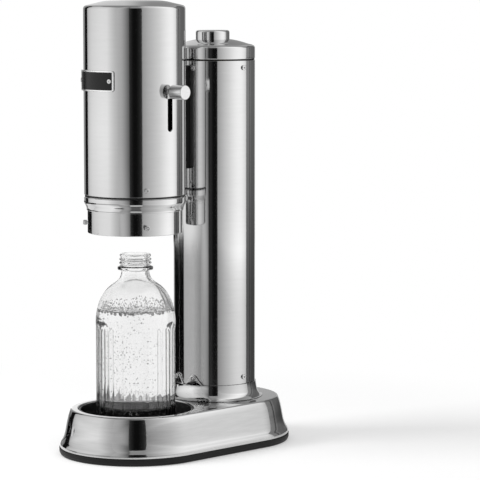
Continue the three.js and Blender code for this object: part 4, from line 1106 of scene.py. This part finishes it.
    def spring(self) -> Object:
        """Makes the coil spring under the button's collar.

        Returns:
            The spring.
        """
        low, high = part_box("button_spring")
        bottom, rise = low.z / MM + self.wire, (high.z - low.z) / MM - 2 * self.wire
        steps = 24 * self.coil_turns
        up, slices = Vector((0, 0, 1)), [2 * math.pi * k / self.wire_sides for k in range(self.wire_sides)]
        skin = Skin("button_coil")
        rings = []
        for i in range(steps + 1):
            turn = 2 * math.pi * self.coil_turns * i / steps
            out = Vector((math.cos(turn), math.sin(turn), 0))
            middle = Vector((0, self.button_y, bottom + rise * i / steps)) + out * self.coil_radius
            rings.append(skin.ring(middle + (out * math.cos(a) + up * math.sin(a)) * self.wire for a in slices))
        skin.chain(rings)
        skin.cap(rings[0], rings[-1])
        return skin.piece()

    def press(self, coil: Object) -> None:
        """Gives the spring a mesh of its own.

        Args:
            coil: The spring.
        """
        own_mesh(coil)


@dataclass
class Head(SubAssembly):
    """The head: steel shell with the handle's slot, seam ring, lower ring and screws."""

    radius: float = 52.0
    wall: float = 1.5
    bottom: float = 267.6
    apex: float = 465.0
    slot_half: float = 3.4
    slot_low: float = 332.9
    slot_high: float = 376.4
    slot_steps: int = 16
    screw_seat: float = 52.3
    screw_height: float = 274.5
    screw_angles: Place = (-60.0, 60.0, 180.0)

    def build(self) -> None:
        """Builds and dresses the head's pieces."""
        self.hand_in(self.shell(), Finish.POLISHED, "stand", "head_shell")
        self.hand_in(self.seam_ring(), Finish.PLASTIC, "stand", "head_seam_ring")
        self.hand_in(self.lower_ring(), Finish.POLISHED, "stand", "head_lower_ring")
        for i, angle in enumerate(self.screw_angles, 1):
            screw = Screw().piece(f"head_edge_screw_{i}", self.screw_seat, angle, self.screw_height, HEAD_Y)
            self.hand_in(screw, Finish.SATIN, "stand", f"head_screw_{i}")

    def shell(self) -> Object:
        """Makes the drawn steel shell and cuts the handle's slot.

        Returns:
            The shell.
        """
        r, inner, belt = self.radius, self.radius - self.wall, 300.0
        dome = rounded([(r, belt), (r, 458.6, 4.0), (30.0, 463.8, 60.0), (0, self.apex)], 8)
        under = rounded([(0, self.apex - 1.6), (30.0, 462.2, 50.0), (inner, 457.2, 3.0), (inner, belt)], 6)
        edge = rounded([(inner, self.bottom + 2), (inner, self.bottom, 0.2), (r, self.bottom, 0.3),
                        (r, self.bottom + 2)], 3)
        skin = Skin("head_sleeve")
        skin.turned(under[:-1] + edge[1:-1] + dome[1:], HEAD_Y, Sides.TUBE)
        shell = skin.piece()
        cut_out(shell, self.slot_tool())
        keep_round(shell.data, HEAD_Y, (r, inner))
        return shell

    def slot_tool(self) -> Object:
        """Makes the shape of the slot, drawn upright and laid along +X.

        Returns:
            The shape, which is as wide as the slot.
        """
        places = []
        for centre, start in ((self.slot_high - self.slot_half, 0), (self.slot_low + self.slot_half, 180)):
            for i in range(self.slot_steps + 1):
                turn = math.radians(start + 180 * i / self.slot_steps)
                places.append((HEAD_Y + self.slot_half * math.cos(turn), centre + self.slot_half * math.sin(turn)))
        skin = Skin("slot_tool")
        near, far = (skin.ring((self.radius + reach, y, z) for y, z in places) for reach in (-6, 6))
        skin.join(near, far)
        skin.cap(near, far)
        return skin.piece()

    def seam_ring(self) -> Object:
        """Makes the thin black ring between the shell and the lower ring."""
        corners = [(48.0, 265.6, 0.1), (51.2, 265.6, 0.4), (51.2, 267.3, 0.4), (48.0, 267.3, 0.1)]
        return self.lathe("head_seam", corners, HEAD_Y, Sides.RING)

    def lower_ring(self) -> Object:
        """Makes the ring that narrows to the shield.

        Returns:
            The ring.
        """
        sweep = flowing([(52.0, 262.5), (52.0, 260.6), (51.75, 259.0), (51.1, 257.4), (50.3, 255.8), (49.7, 254.2),
                         (49.35, 252.8), (49.3, 251.7)])
        outline = [(48.9, 251.3), (48.9, 283.0), (50.2, 283.0), (50.2, 265.3), (51.4, 265.3), (51.9, 264.9),
                   (52.0, 264.4), *sweep, (49.1, 251.35)]
        return self.lathe("head_collar", outline, HEAD_Y, Sides.TUBE)


@dataclass
class NamePlate(SubAssembly):
    """The curved plate on the head: bright frame, bare black face and two screws."""

    middle: float = -8.3
    half: float = 32.2
    centre: float = 383.85
    height: float = 21.1
    corner: float = 2.6
    border: float = 1.8
    bend: float = 53.6
    tray_back: float = 52.3
    face_front: float = 53.85
    columns: int = 48
    bead_columns: int = 64
    screw_inset: float = 5.0
    screw: Screw = Screw(radius=2.3, height=0.8, socket=0.9, depth=0.5, edge=0.35, shank=0.8, bite=0.3)

    def build(self) -> None:
        """Builds and dresses the plate's pieces."""
        self.hand_in(self.tray(), Finish.RIM, "stand", "plate_tray")
        self.hand_in(self.face(), Finish.ENAMEL, "stand", "plate_inlay")
        for i, side in enumerate((-1, 1), 1):
            angle = self.middle + side * (self.half - self.screw_inset)
            pin = self.screw.piece(f"plate_pin_{i}", self.face_front, angle, self.centre, HEAD_Y)
            self.hand_in(pin, Finish.SATIN, "stand", f"plate_screw_{i}")

    def half_inside(self, inset: float) -> float:
        """Gives half the width, in degrees, of what lies inside the plate's outline by a distance."""
        return self.half - inset / (math.radians(1) * self.bend)

    def edges(self, share: float, inset: float) -> Point:
        """Gives the plate's lowest and highest height across its width.

        Args:
            share: The share of the half width, from -1 to 1.
            inset: How far inside the plate's outline it lies.

        Returns:
            The lowest and the highest height.
        """
        width = math.radians(self.half) * self.bend - inset
        corner = max(self.corner - inset, 0.3)
        over = max(abs(share) * width - (width - corner), 0.0)
        rise = self.height / 2 - inset - corner + math.sqrt(max(corner ** 2 - over ** 2, 0.0))
        return self.centre - rise, self.centre + rise

    def tray(self) -> Object:
        """Makes the bright tray with the rounded border that frames the face.

        Returns:
            The tray.
        """
        skin = Skin("plate_frame")
        curved_plate(skin, HEAD_Y, self.middle, self.half, (self.tray_back, 53.35),
                     lambda share: self.edges(share, 0), soft=0.2, columns=self.columns)
        shares = shares_across(self.bead_columns)
        bead = []
        for radius, inset in ((53.3, 0.0), (53.75, 0.1), (54.0, 0.35), (54.0, 1.45), (53.75, 1.7), (53.3, 1.8)):
            places = []
            for side, run in enumerate((shares[:-1], shares[:0:-1])):
                for share in run:
                    angle = self.middle + share * self.half_inside(inset)
                    places.append(around(radius, angle, self.edges(share, inset)[side], HEAD_Y))
            bead.append(skin.ring(places))
        skin.chain(bead, closed=True)
        return skin.piece(hard=50)

    def face(self) -> Object:
        """Makes the bare black face.

        Returns:
            The face.
        """
        skin = Skin("plate_bare_face")
        curved_plate(skin, HEAD_Y, self.middle, self.half_inside(self.border), (53.4, self.face_front),
                     lambda share: self.edges(share, self.border), soft=0.1, columns=self.columns)
        return skin.piece(hard=50)


@dataclass
class Shield(SubAssembly):
    """The polished tube that comes down over the bottle, with its studs."""

    radius: float = 48.4
    wall: float = 1.2
    stud_angles: Place = (-60.0, 60.0, 180.0)

    def build(self) -> None:
        """Builds and dresses the shield's pieces."""
        low, high = (corner.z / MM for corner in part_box("shield_tube"))
        inner = self.radius - self.wall
        corners = [(self.radius, low, 0.55), (self.radius, high, 0.3), (inner, high, 0.2), (inner, low, 0.55)]
        tube = self.lathe("shield_sleeve", corners, HEAD_Y, Sides.TUBE)
        self.hand_in(tube, Finish.POLISHED, "shield", "shield_tube")
        for i, angle in enumerate(self.stud_angles, 1):
            self.hand_in(self.stud(i, angle), Finish.SATIN, "shield", f"lock_stud_{i}")

    def stud(self, index: int, angle: float) -> Object:
        """Makes one headed stud.

        Args:
            index: Which stud it is.
            angle: Where it points.

        Returns:
            The stud.
        """
        corners = [(0, 47.0), (1.5, 47.0, 0.2), (1.5, 52.0, 0.1), (2.6, 52.0, 0.4), (2.6, 55.2, 0.5),
                   (1.75, 55.2, 0.15), (1.6, 54.5, 0.15), (1.2, 54.5, 0.15), (1.05, 55.1, 0.3), (0, 55.1)]
        placed = outward(angle, middle_height(f"lock_stud_{index}"), HEAD_Y)
        return self.lathe(f"shield_stud_{index}", corners, 0, Sides.PIN, 4, closed=False, placed=placed)


@dataclass
class Handle(SubAssembly):
    """The round knob at the head's side and the neck that stands in the slot."""

    angle: float = 90.0
    start: float = 56.6
    end: float = 74.0
    radius: float = 7.2
    hollow: float = 0.12

    def build(self) -> None:
        """Builds and dresses the handle's pieces."""
        placed = outward(self.angle, middle_height("handle_knob"), HEAD_Y)
        face = self.end - self.hollow
        grip = [(0, self.start), (self.radius, self.start, 0.5), (self.radius, self.end, 0.55), (0.6, face), (0, face)]
        knob = self.lathe("handle_grip", grip, 0, Sides.KNOB, closed=False, placed=placed)
        self.hand_in(knob, Finish.TURNED, "handle", "handle_knob")
        pin = [(0, 50.5), (2.4, 50.5, 0.3), (2.4, 52.8, 0.2), (3.0, 53.6, 0.2), (3.0, 56.3, 0.2), (0, 56.3)]
        neck = self.lathe("handle_pin", pin, 0, Sides.PIN, 3, closed=False, placed=placed)
        self.hand_in(neck, Finish.SATIN, "handle", "handle_neck")


@dataclass
class Bottle(SubAssembly):
    """The fluted glass bottle, the water in it, its foam and its bubbles."""

    inner_limit: float = 38.5
    flutes: int = 18
    flute_sides: int = 16
    flute_depth: float = 1.15
    flute_share: float = 0.93
    flute_arch: float = 7.2
    flute_top: float = 133.6
    flute_foot: float = 24.0
    flute_fade: float = 6.0
    flute_turn: float = 6.0
    water_top: float = 149.0
    wetting: float = 0.08
    seed: int = 7
    rising: int = 560
    rising_reach: float = 37.2
    foam: int = 520
    foam_reach: Point = (36.6, 36.9)
    large: int = 26
    large_reach: float = 36.7
    drops: int = 620
    drops_climb: float = 9.0
    drops_inset: float = 0.75

    def build(self) -> None:
        """Builds and dresses the bottle's pieces."""
        glass = self.hand_in(self.glass(), Finish.GLASS, "bottle", "glass_bottle")
        water = self.hand_in(self.water(), Finish.WATER, "bottle", "bottle_water")
        bubbles = self.hand_in(self.bubbles(), Finish.BUBBLE, "bottle")
        for piece in (glass, water, bubbles):
            piece.visible_shadow = False
        bubbles.visible_glossy = False

    def outside(self) -> list[Point]:
        """Draws the outside from under the foot up to the neck, with close rows where the flutes' arches end.

        Returns:
            Radius and height of each point.
        """
        heel = rounded([(0, 17.8), (30.0, 17.6, 3.0), (34.6, 16.6, 1.2), (38.6, 16.6, 3.0), (41.0, 23.0, 8.0),
                        (41.0, 28.0)], 7)
        straight = [(41.0, 28 + 2.0 * i) for i in range(48)] + [(41.0, 124 + 0.5 * i) for i in range(12)]
        shoulder = flowing([(41.0, 130.0), (41.0, 138.0), (40.7, 142.5), (40.0, 147.0), (38.9, 151.5),
                            (37.4, 156.5), (35.2, 161.5), (32.2, 166.5), (28.4, 171.0), (24.2, 174.6),
                            (20.2, 177.2), (17.2, 179.9), (15.3, 183.0), (14.4, 186.4), (14.2, 188.6)])
        return heel[:-1] + straight + shoulder

    def finish(self) -> list[Point]:
        """Draws the bead, the thread and the mouth.

        Returns:
            Radius and height of each point.
        """
        corners = [(14.2, 188.4), (14.2, 189.2, 0.5), (18.2, 190.0, 0.8), (18.2, 193.0, 0.9), (15.2, 194.0, 0.5)]
        for ridge in (195.6, 199.2):
            corners += [(15.2, ridge, 0.4), (16.5, ridge + 0.8, 0.4), (16.5, ridge + 1.8, 0.4),
                        (15.2, ridge + 2.6, 0.4)]
        corners += [(15.2, 203.0, 0.4), (15.9, 203.8, 0.3), (15.9, 206.2, 1.2), (11.0, 206.2, 1.3), (11.0, 203.0)]
        return rounded(corners, 4)[1:]

    def inside(self) -> list[Point]:
        """Draws the inside from the mouth down to the floor."""
        upper = flowing([(11.0, 203.0), (11.0, 196.0), (11.1, 188.0), (11.8, 183.0), (13.8, 178.8), (17.6, 175.2),
                         (22.6, 171.6), (27.2, 166.8), (31.2, 161.0), (34.6, 154.5), (36.9, 147.5), (38.1, 140.0),
                         (38.3, 130.0), (38.3, 60.0)])
        return upper + rounded([(38.3, 40.0), (38.3, 20.4, 2.8), (30.0, 20.5), (0.0, 20.5)], 6)

    def reach(self, angle: float, height: float, plain: float) -> float:
        """Finds how far the glass lies from the axis. Only its outside has flutes, between their foot and top.

        Args:
            angle: Degrees from the front.
            height: Height over the ground.
            plain: How far it would lie without flutes.

        Returns:
            The distance.
        """
        low = self.flute_foot - self.flute_fade
        if plain < self.inner_limit or not low <= height <= self.flute_top:
            return plain
        turns = (angle - self.flute_turn) / (360 / self.flutes)
        across = abs(turns % 1.0 * 2 - 1) / self.flute_share
        arch = self.flute_top - self.flute_arch * (1 - math.sqrt(max(1 - min(across, 1.0) ** 2, 0.0)))
        fade = min(max((arch - height) / 1.6, 0.0), 1.0) * min(max((height - low) / self.flute_fade, 0.0), 1.0)
        fade = fade * fade * (3 - 2 * fade)
        return plain - self.flute_depth * max(1 - across ** 2, 0.0) ** 0.8 * fade

    def glass(self) -> Object:
        """Makes the glass.

        Returns:
            The glass.
        """
        skin = Skin("fluted_bottle")
        outline = self.outside() + self.finish() + self.inside()
        skin.turned(outline, HEAD_Y, self.flutes * self.flute_sides, reach=self.reach)
        return skin.piece(hard=60, even=False)

    def water(self) -> Object:
        """Makes the water, which wets the glass and climbs a little at its edge.

        Returns:
            The water.
        """
        skin = Skin("sparkling_water")
        top = self.water_top
        wall = [(r + self.wetting, z) for r, z in self.inside() if z < top and r > ON_AXIS][::-1]
        edge = wall[-1][0]
        crest = [(edge, top + 0.9), (edge - 0.8, top + 0.25), (edge - 2.2, top), (20.0, top - 0.05), (0.0, top - 0.05)]
        skin.turned([(0.0, 20.42), *wall, *crest], HEAD_Y, Sides.WATER)
        return skin.piece(hard=70, even=False)

    def inner_reach(self, height: float) -> float:
        """Finds how far the inside of the wall lies from the axis, over the water.

        Args:
            height: Height over the ground.

        Returns:
            The distance.
        """
        wall = [(z, r) for r, z in self.inside() if z > 100]
        above, far = min(point for point in wall if point[0] >= height)
        below, near = max(point for point in wall if point[0] < height)
        return near + (height - below) / (above - below) * (far - near)

    def spots(self) -> list[tuple[Place, float]]:
        """Draws lots for the bubbles, the foam, its large bubbles and the drops on the glass over it.

        Returns:
            The middle and the radius of each one.
        """
        chance = random.Random(self.seed)
        top = self.water_top
        spots = []
        while len(spots) < self.rising:
            far = self.rising_reach * math.sqrt(chance.random())
            angle = chance.uniform(0, 360)
            height = 22 + (top - 24) * chance.random()
            if chance.random() < 0.62 + 0.38 * math.cos(math.radians(angle + 30)):
                spots.append((around(far, angle, height, HEAD_Y), chance.choice((0.26, 0.34, 0.42, 0.42, 0.55, 0.7))))
        for _ in range(self.foam):
            size = chance.choice((0.4, 0.55, 0.7, 0.9))
            far = min(self.foam_reach[0] * math.sqrt(chance.uniform(0.2, 1)), self.foam_reach[1] - size)
            height = top - size * chance.uniform(-0.6, 2.0)
            spots.append((around(far, chance.uniform(0, 360), height, HEAD_Y), size))
        for _ in range(self.large):
            size = chance.uniform(1.1, 1.9)
            far = self.large_reach - size
            spots.append((around(far, chance.uniform(-90, 160), top - size * 0.8, HEAD_Y), size))
        for _ in range(self.drops):
            height = top + self.drops_climb * chance.random() ** 1.6
            size = chance.choice((0.4, 0.5, 0.65))
            far = self.inner_reach(height) - self.drops_inset
            spots.append((around(far, chance.uniform(0, 360), height + 0.4, HEAD_Y), size))
        return spots

    def bubbles(self) -> Object:
        """Makes every bubble and drop as one piece.

        Returns:
            The piece.
        """
        ball = bmesh.new()
        bmesh.ops.create_icosphere(ball, subdivisions=2, radius=1.0)
        round_corners = [vert.co.copy() for vert in ball.verts]
        round_faces = [[vert.index for vert in face.verts] for face in ball.faces]
        ball.free()
        corners, faces = [], []
        for place, size in self.spots():
            faces.extend([index + len(corners) for index in face] for face in round_faces)
            corners.extend((Vector(place) + corner * size) * MM for corner in round_corners)
        data = bpy.data.meshes.new("bubbles")
        data.from_pydata(corners, [], faces)
        data.shade_smooth()
        return new_object("bubbles", data)


@dataclass
class Inside(SubAssembly):
    """The carried-over pieces: everything that the shells hide, and the plain working parts."""

    finishes: dict[Finish, tuple[str, ...]] = field(default_factory=lambda: {
        Finish.PLASTIC: ("base_plate", "gas_hatch", "gas_bottle_guide"),
        Finish.MATT: ("bridge_bracket",),
        Finish.RUBBER: ("nozzle_seal",),
        Finish.BRASS: ("gas_bottle_valve", "valve_body", "relief_valve"),
        Finish.ALUMINIUM: ("gas_bottle", "valve_bracket", "lift_frame", "handle_strap"),
        Finish.SATIN: ("gas_pipe", "gear_axle", "feed_pipe", "nozzle_stem"),
        Finish.GEAR: ("button_plunger", "shield_rack", "lift_gear", "handle_rack", "nozzle_arm", "nozzle_head"),
    })

    def build(self) -> None:
        """Dresses each carried-over node."""
        for finish, names in self.finishes.items():
            for name in names:
                self.wardrobe.dress(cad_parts[name], finish)
                LOG.info("%s keeps its solid in %s", name, finish.value)


@dataclass(frozen=True)
class Card:
    """A soft box or dark flag that the steel reflects, flat and upright.

    Its ends are in degrees from the camera's side, positive to the right of the picture. Its levels are the
    brightness that the polished steel shows, at even steps from its start to its end. Its reach is how far each end
    stands from the object, in metres. Its rows are heights in metres, each with the share of its brightness there.
    Where the steel shows another brightness lower down, the levels under it hold for its lowest rows.
    """

    start: float
    end: float
    levels: tuple[float, ...]
    reach: Point = (3.4, 3.4)
    rows: tuple[Point, ...] = ((-2.2, 1.0), (2.6, 1.0))
    under: tuple[float, ...] = ()
    under_rows: int = 0

    def glow(self, share: float, row: int) -> float:
        """Finds the brightness that the steel shows of one place on it.

        Args:
            share: The share of its width.
            row: Which of its rows the place is in.

        Returns:
            The brightness, from 0 to 1.
        """
        levels = self.under if row < self.under_rows else self.levels
        spot = share * (len(levels) - 1)
        first = min(int(spot), len(levels) - 2)
        return (levels[first] + (levels[first + 1] - levels[first]) * (spot - first)) * self.rows[row][1]


@dataclass(frozen=True)
class Lamp:
    """A square soft lamp: where it hangs, how wide it is, in metres, and its power."""

    name: str
    angle: float
    height: float
    distance: float
    size: float
    power: float


# How much of their brightness the cards keep at each height: the softboxes on the left, and the strips on the right
SOFT_TOP = ((-2.2, 1.0), (-0.38, 1.0), (-0.3, 0.73), (-0.015, 0.73), (0.02, 0.98), (0.065, 0.95), (0.13, 0.98),
            (0.22, 1.0), (0.42, 0.95), (2.6, 0.87))
FALLING = ((-2.2, 1.7), (-0.68, 1.7), (-0.53, 0.65), (-0.26, 0.65), (0.2, 1.0), (2.6, 1.0))
SOFTBOX = (2.0, 2.0)


@dataclass
class Studio:
    """The floor, the white surroundings, the cards that the steel reflects, and the lamps."""

    facing: float = 45.95
    steel: float = 0.62
    columns: int = 12
    lid_reach: Point = (0.02, 3.4)
    lid_columns: int = 48
    floor_reach: float = 0.62
    floor_drop: float = 0.0003
    floor_tone: float = 0.8
    floor_lift: float = 0.3
    floor_fade: Point = (0.3, 0.58)
    mirrored_fade: Point = (0.15, 0.2)
    world_level: float = 0.55
    aim: Place = (0, 0, 0.15)
    lamps: tuple[Lamp, ...] = (
        Lamp("main_lamp", -75.0, 1.7, 2.0, 1.1, 36.0),
        Lamp("front_lamp", 15.0, 1.2, 2.4, 1.2, 10.0),
    )
    cards: tuple[Card, ...] = (
        Card(168, 192, (0.66, 0.64, 0.62, 0.62, 0.62, 0.64, 0.71, 0.84, 0.92, 0.92, 0.92, 0.92, 0.92),
             rows=((-2.2, 1.0), (-0.15, 1.0), (-0.135, 0.1), (-0.06, 0.1), (-0.04, 1.0), (0.5, 1.0), (0.8, 0.8),
                   (2.6, 0.76))),
        Card(-168, -144.5, (0.60, 0.52, 0.45), rows=((-0.135, 0.1), (-0.06, 0.1), (-0.04, 1.0), (2.6, 1.0))),
        Card(-144.5, -127, (0.05, 0.05), rows=((-0.135, 1.0), (2.6, 1.0))),
        Card(-168, -151, (0.60, 0.45), rows=((-2.2, 1.0), (-0.135, 1.0))),
        Card(-151, -119, (0.8, 0.8), rows=((-2.2, 1.0), (-0.6, 1.0), (-0.53, 0.04))),
        Card(-151, -119, (0.03, 0.03), rows=((-0.53, 1.0), (-0.135, 1.0))),
        Card(-127, -97, (0.69, 0.79, 0.84, 0.86), SOFTBOX, SOFT_TOP[4:]),
        Card(-119, -97, (0.74, 0.82, 0.86), SOFTBOX, SOFT_TOP[:3]),
        Card(-119, -97, (0.02, 0.02), SOFTBOX, ((-0.3, 1.0), (0.02, 1.0))),
        Card(-97, -62, (0.86, 0.88, 0.89, 0.885), SOFTBOX, SOFT_TOP),
        Card(-62, -38, (0.885, 0.84, 0.79, 0.74, 0.70), SOFTBOX, SOFT_TOP),
        Card(-38, -13.4, (0.70, 0.68, 0.67, 0.665, 0.66, 0.655, 0.645, 0.625, 0.585, 0.51, 0.34), (2.0, 0.6),
             ((-2.2, 0.85), (0.0, 0.85), (0.12, 1.0), (0.26, 1.0), (0.6, 1.0), (2.6, 1.0)),
             (0.70, 0.69, 0.685, 0.68, 0.68, 0.685, 0.685, 0.68, 0.67, 0.63, 0.48), 3),
        Card(-22, 17, (0.7, 0.7), rows=((-2.2, 1.0), (-0.68, 1.0), (-0.53, 0.15))),
        Card(-22, 17, (0.12, 0.12, 0.16, 0.05, 0.05, 0.12, 0.21), rows=((-0.53, 1.0), (2.6, 1.0))),
        Card(12.5, 101.1, (0.55, 0.595, 0.64, 0.68, 0.73, 0.78, 0.845, 0.895, 0.915, 0.87, 0.76), (0.606, 0.42),
             ((-2.2, 0.88), (-0.1, 0.88), (0.1, 0.93), (0.14, 0.98), (0.17, 1.07), (0.22, 1.03), (2.6, 1.02))),
        Card(101.1, 117.5, (0.50, 0.46), rows=FALLING),
        Card(117.5, 121, (0.26, 0.26), rows=FALLING),
        Card(121, 125.5, (0.46, 0.44), rows=FALLING),
        Card(125.5, 140, (0.37, 0.36), rows=FALLING),
        Card(140, 159, (0.34, 0.37), rows=FALLING),
        Card(159, 168, (0.60, 0.66)),
    )

    def build(self) -> None:
        """Builds the studio."""
        self.world()
        self.floor()
        self.glowing_stage("studio_cards", *(self.card_columns(card) for card in self.cards))
        self.glowing_stage("studio_ceiling", self.lid(2.6, (0.45, 0.58)))
        self.glowing_stage("studio_ground", self.lid(-2.2, (0.35, 0.3)))
        for lamp in self.lamps:
            self.hang(lamp)

    def place(self, angle: float, reach: float, height: float = 0) -> Vector:
        """Gives a place round the object, for an angle from the camera's side, in metres."""
        return Vector(around(reach, self.facing + angle, height, 0))

    def card_columns(self, card: Card) -> list[Glows]:
        """Lays out a card, from its start to its end and each column from below.

        Args:
            card: The card.

        Returns:
            The place and the brightness of each of its points.
        """
        start, end = (self.place(angle, reach) for angle, reach in zip((card.start, card.end), card.reach))
        columns = []
        for i in range(self.columns + 1):
            share = i / self.columns
            foot = start.lerp(end, share)
            columns.append([(Vector((foot.x, foot.y, height)), card.glow(share, row))
                            for row, (height, _) in enumerate(card.rows)])
        return columns

    def lid(self, height: float, levels: Point) -> list[Glows]:
        """Lays out a level sheet, which closes the cards off and shows in the domes and fillets.

        Args:
            height: Its height over the ground, in metres.
            levels: The brightness that the polished steel shows, at its middle and at its edge.

        Returns:
            The place and the brightness of each of its points.
        """
        return [[(Vector(around(reach, 360 * i / self.lid_columns, height, 0)), level)
                 for reach, level in zip(self.lid_reach, levels)] for i in range(self.lid_columns + 1)]

    def glowing_stage(self, name: str, *sheets: list[Glows]) -> None:
        """Makes a stage piece that only the steel's reflections see.

        Args:
            name: The piece's name.
            *sheets: Columns of places, each with the brightness that the polished steel shows there.
        """
        mesh = bmesh.new()
        glow = mesh.verts.layers.float.new("glow")
        for sheet in sheets:
            columns = []
            for places in sheet:
                columns.append([mesh.verts.new(place) for place, _ in places])
                for vert, (_, level) in zip(columns[-1], places):
                    vert[glow] = linear(level) / self.steel
            for left, right in zip(columns, columns[1:]):
                for k in range(len(left) - 1):
                    mesh.faces.new((left[k], right[k], right[k + 1], left[k + 1]))
        obj = mesh_object(name, mesh)
        obj.visible_camera = False
        obj.visible_diffuse = False
        obj.visible_shadow = False
        obj.visible_transmission = False
        obj.data.materials.append(bpy.data.materials.get("card_light") or self.card_material())

    def card_material(self) -> bpy.types.Material:
        """Makes the material that gives off the glow of each place on the cards.

        Returns:
            The material.
        """
        material, tree = stage_material("card_light")
        glow = add_node(tree, "Attribute", attribute_name="glow").outputs["Fac"]
        light = add_node(tree, "Emission", {"Strength": glow}).outputs[0]
        add_node(tree, "OutputMaterial", {0: light})
        return material

    def world(self) -> None:
        """Makes the white surroundings."""
        world = bpy.data.worlds.new("studio_surroundings")
        bpy.context.scene.world = world
        world.use_nodes = True
        tree = world.node_tree
        back = tree.nodes["Background"]
        back.inputs["Color"].default_value = (1, 1, 1, 1)
        level = math_node(tree, "MULTIPLY_ADD", seen_rays(tree), 1 - self.world_level, self.world_level)
        tree.links.new(level, back.inputs["Strength"])

    def floor(self) -> None:
        """Makes the pale floor, which fades into the white surroundings, and sooner where the steel mirrors it."""
        mesh = bmesh.new()
        bmesh.ops.create_circle(mesh, cap_ends=True, segments=Sides.SMALL, radius=self.floor_reach)
        floor = mesh_object("floor", mesh)
        floor.location.z = -self.floor_drop
        material, tree = stage_material("pale_floor")
        floor.data.materials.append(material)
        places = add_node(tree, "TexCoord").outputs["Object"]
        far = add_node(tree, "VectorMath", {0: places}, operation="LENGTH").outputs["Value"]
        seen = seen_rays(tree)
        matt = add_node(tree, "BsdfDiffuse", {"Color": (*[self.floor_tone] * 3, 1)}).outputs[0]
        lift = add_node(tree, "Emission", {"Strength": math_node(tree, "MULTIPLY", seen, self.floor_lift)}).outputs[0]
        pale = add_node(tree, "AddShader", {0: matt, 1: lift}).outputs[0]
        white = add_node(tree, "Emission", {"Strength": seen}).outputs[0]
        ground = add_node(tree, "MixShader", {0: fade(tree, far, self.floor_fade), 1: pale, 2: white}).outputs[0]
        mirrored = math_node(tree, "MULTIPLY", add_node(tree, "LightPath").outputs["Is Glossy Ray"],
                             fade(tree, far, self.mirrored_fade))
        gone = math_node(tree, "MAXIMUM", mirrored, add_node(tree, "NewGeometry").outputs["Backfacing"])
        clear = add_node(tree, "BsdfTransparent").outputs[0]
        add_node(tree, "OutputMaterial", {0: add_node(tree, "MixShader", {0: gone, 1: ground, 2: clear}).outputs[0]})

    def hang(self, lamp: Lamp) -> None:
        """Hangs a lamp so that it points at the object.

        Args:
            lamp: The lamp.
        """
        data = bpy.data.lights.new(lamp.name, "AREA")
        data.shape = "SQUARE"
        data.size = lamp.size
        data.energy = lamp.power
        obj = new_object(lamp.name, data)
        obj.location = self.place(lamp.angle, lamp.distance, lamp.height)
        obj.rotation_euler = (Vector(self.aim) - obj.location).to_track_quat("-Z", "Y").to_euler()
        obj.visible_glossy = False
        obj.visible_transmission = False


@dataclass(frozen=True)
class Viewpoint:
    """The camera at the photograph's angle."""

    place: Place = (1.874, -1.8128, 0.48905)
    heading: float = 44.475
    dip: float = 5.985
    lens: float = 189.3
    sensor: float = 36.0
    clip: Point = (0.05, 40.0)

    def build(self) -> None:
        """Sets up the camera and the plain view transform."""
        data = bpy.data.cameras.new("camera")
        data.lens = self.lens
        data.sensor_width = self.sensor
        data.sensor_fit = "HORIZONTAL"
        data.clip_start, data.clip_end = self.clip
        camera = new_object("camera", data)
        camera.location = self.place
        camera.rotation_euler = (math.radians(90 - self.dip), 0, math.radians(self.heading))
        bpy.context.scene.camera = camera
        bpy.context.scene.view_settings.view_transform = "Standard"


def main() -> None:
    """Builds the camera, the studio and every sub-assembly, in that order."""
    logging.basicConfig(level=logging.INFO, format="%(name)s: %(message)s")
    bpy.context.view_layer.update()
    Viewpoint().build()
    Studio().build()
    wardrobe = Wardrobe()
    for kind in (Inside, Base, Tower, Head, NamePlate, Shield, Handle, Bottle):
        LOG.info("building %s", kind.__name__)
        kind(wardrobe).build()


if __name__ == "__main__":
    main()
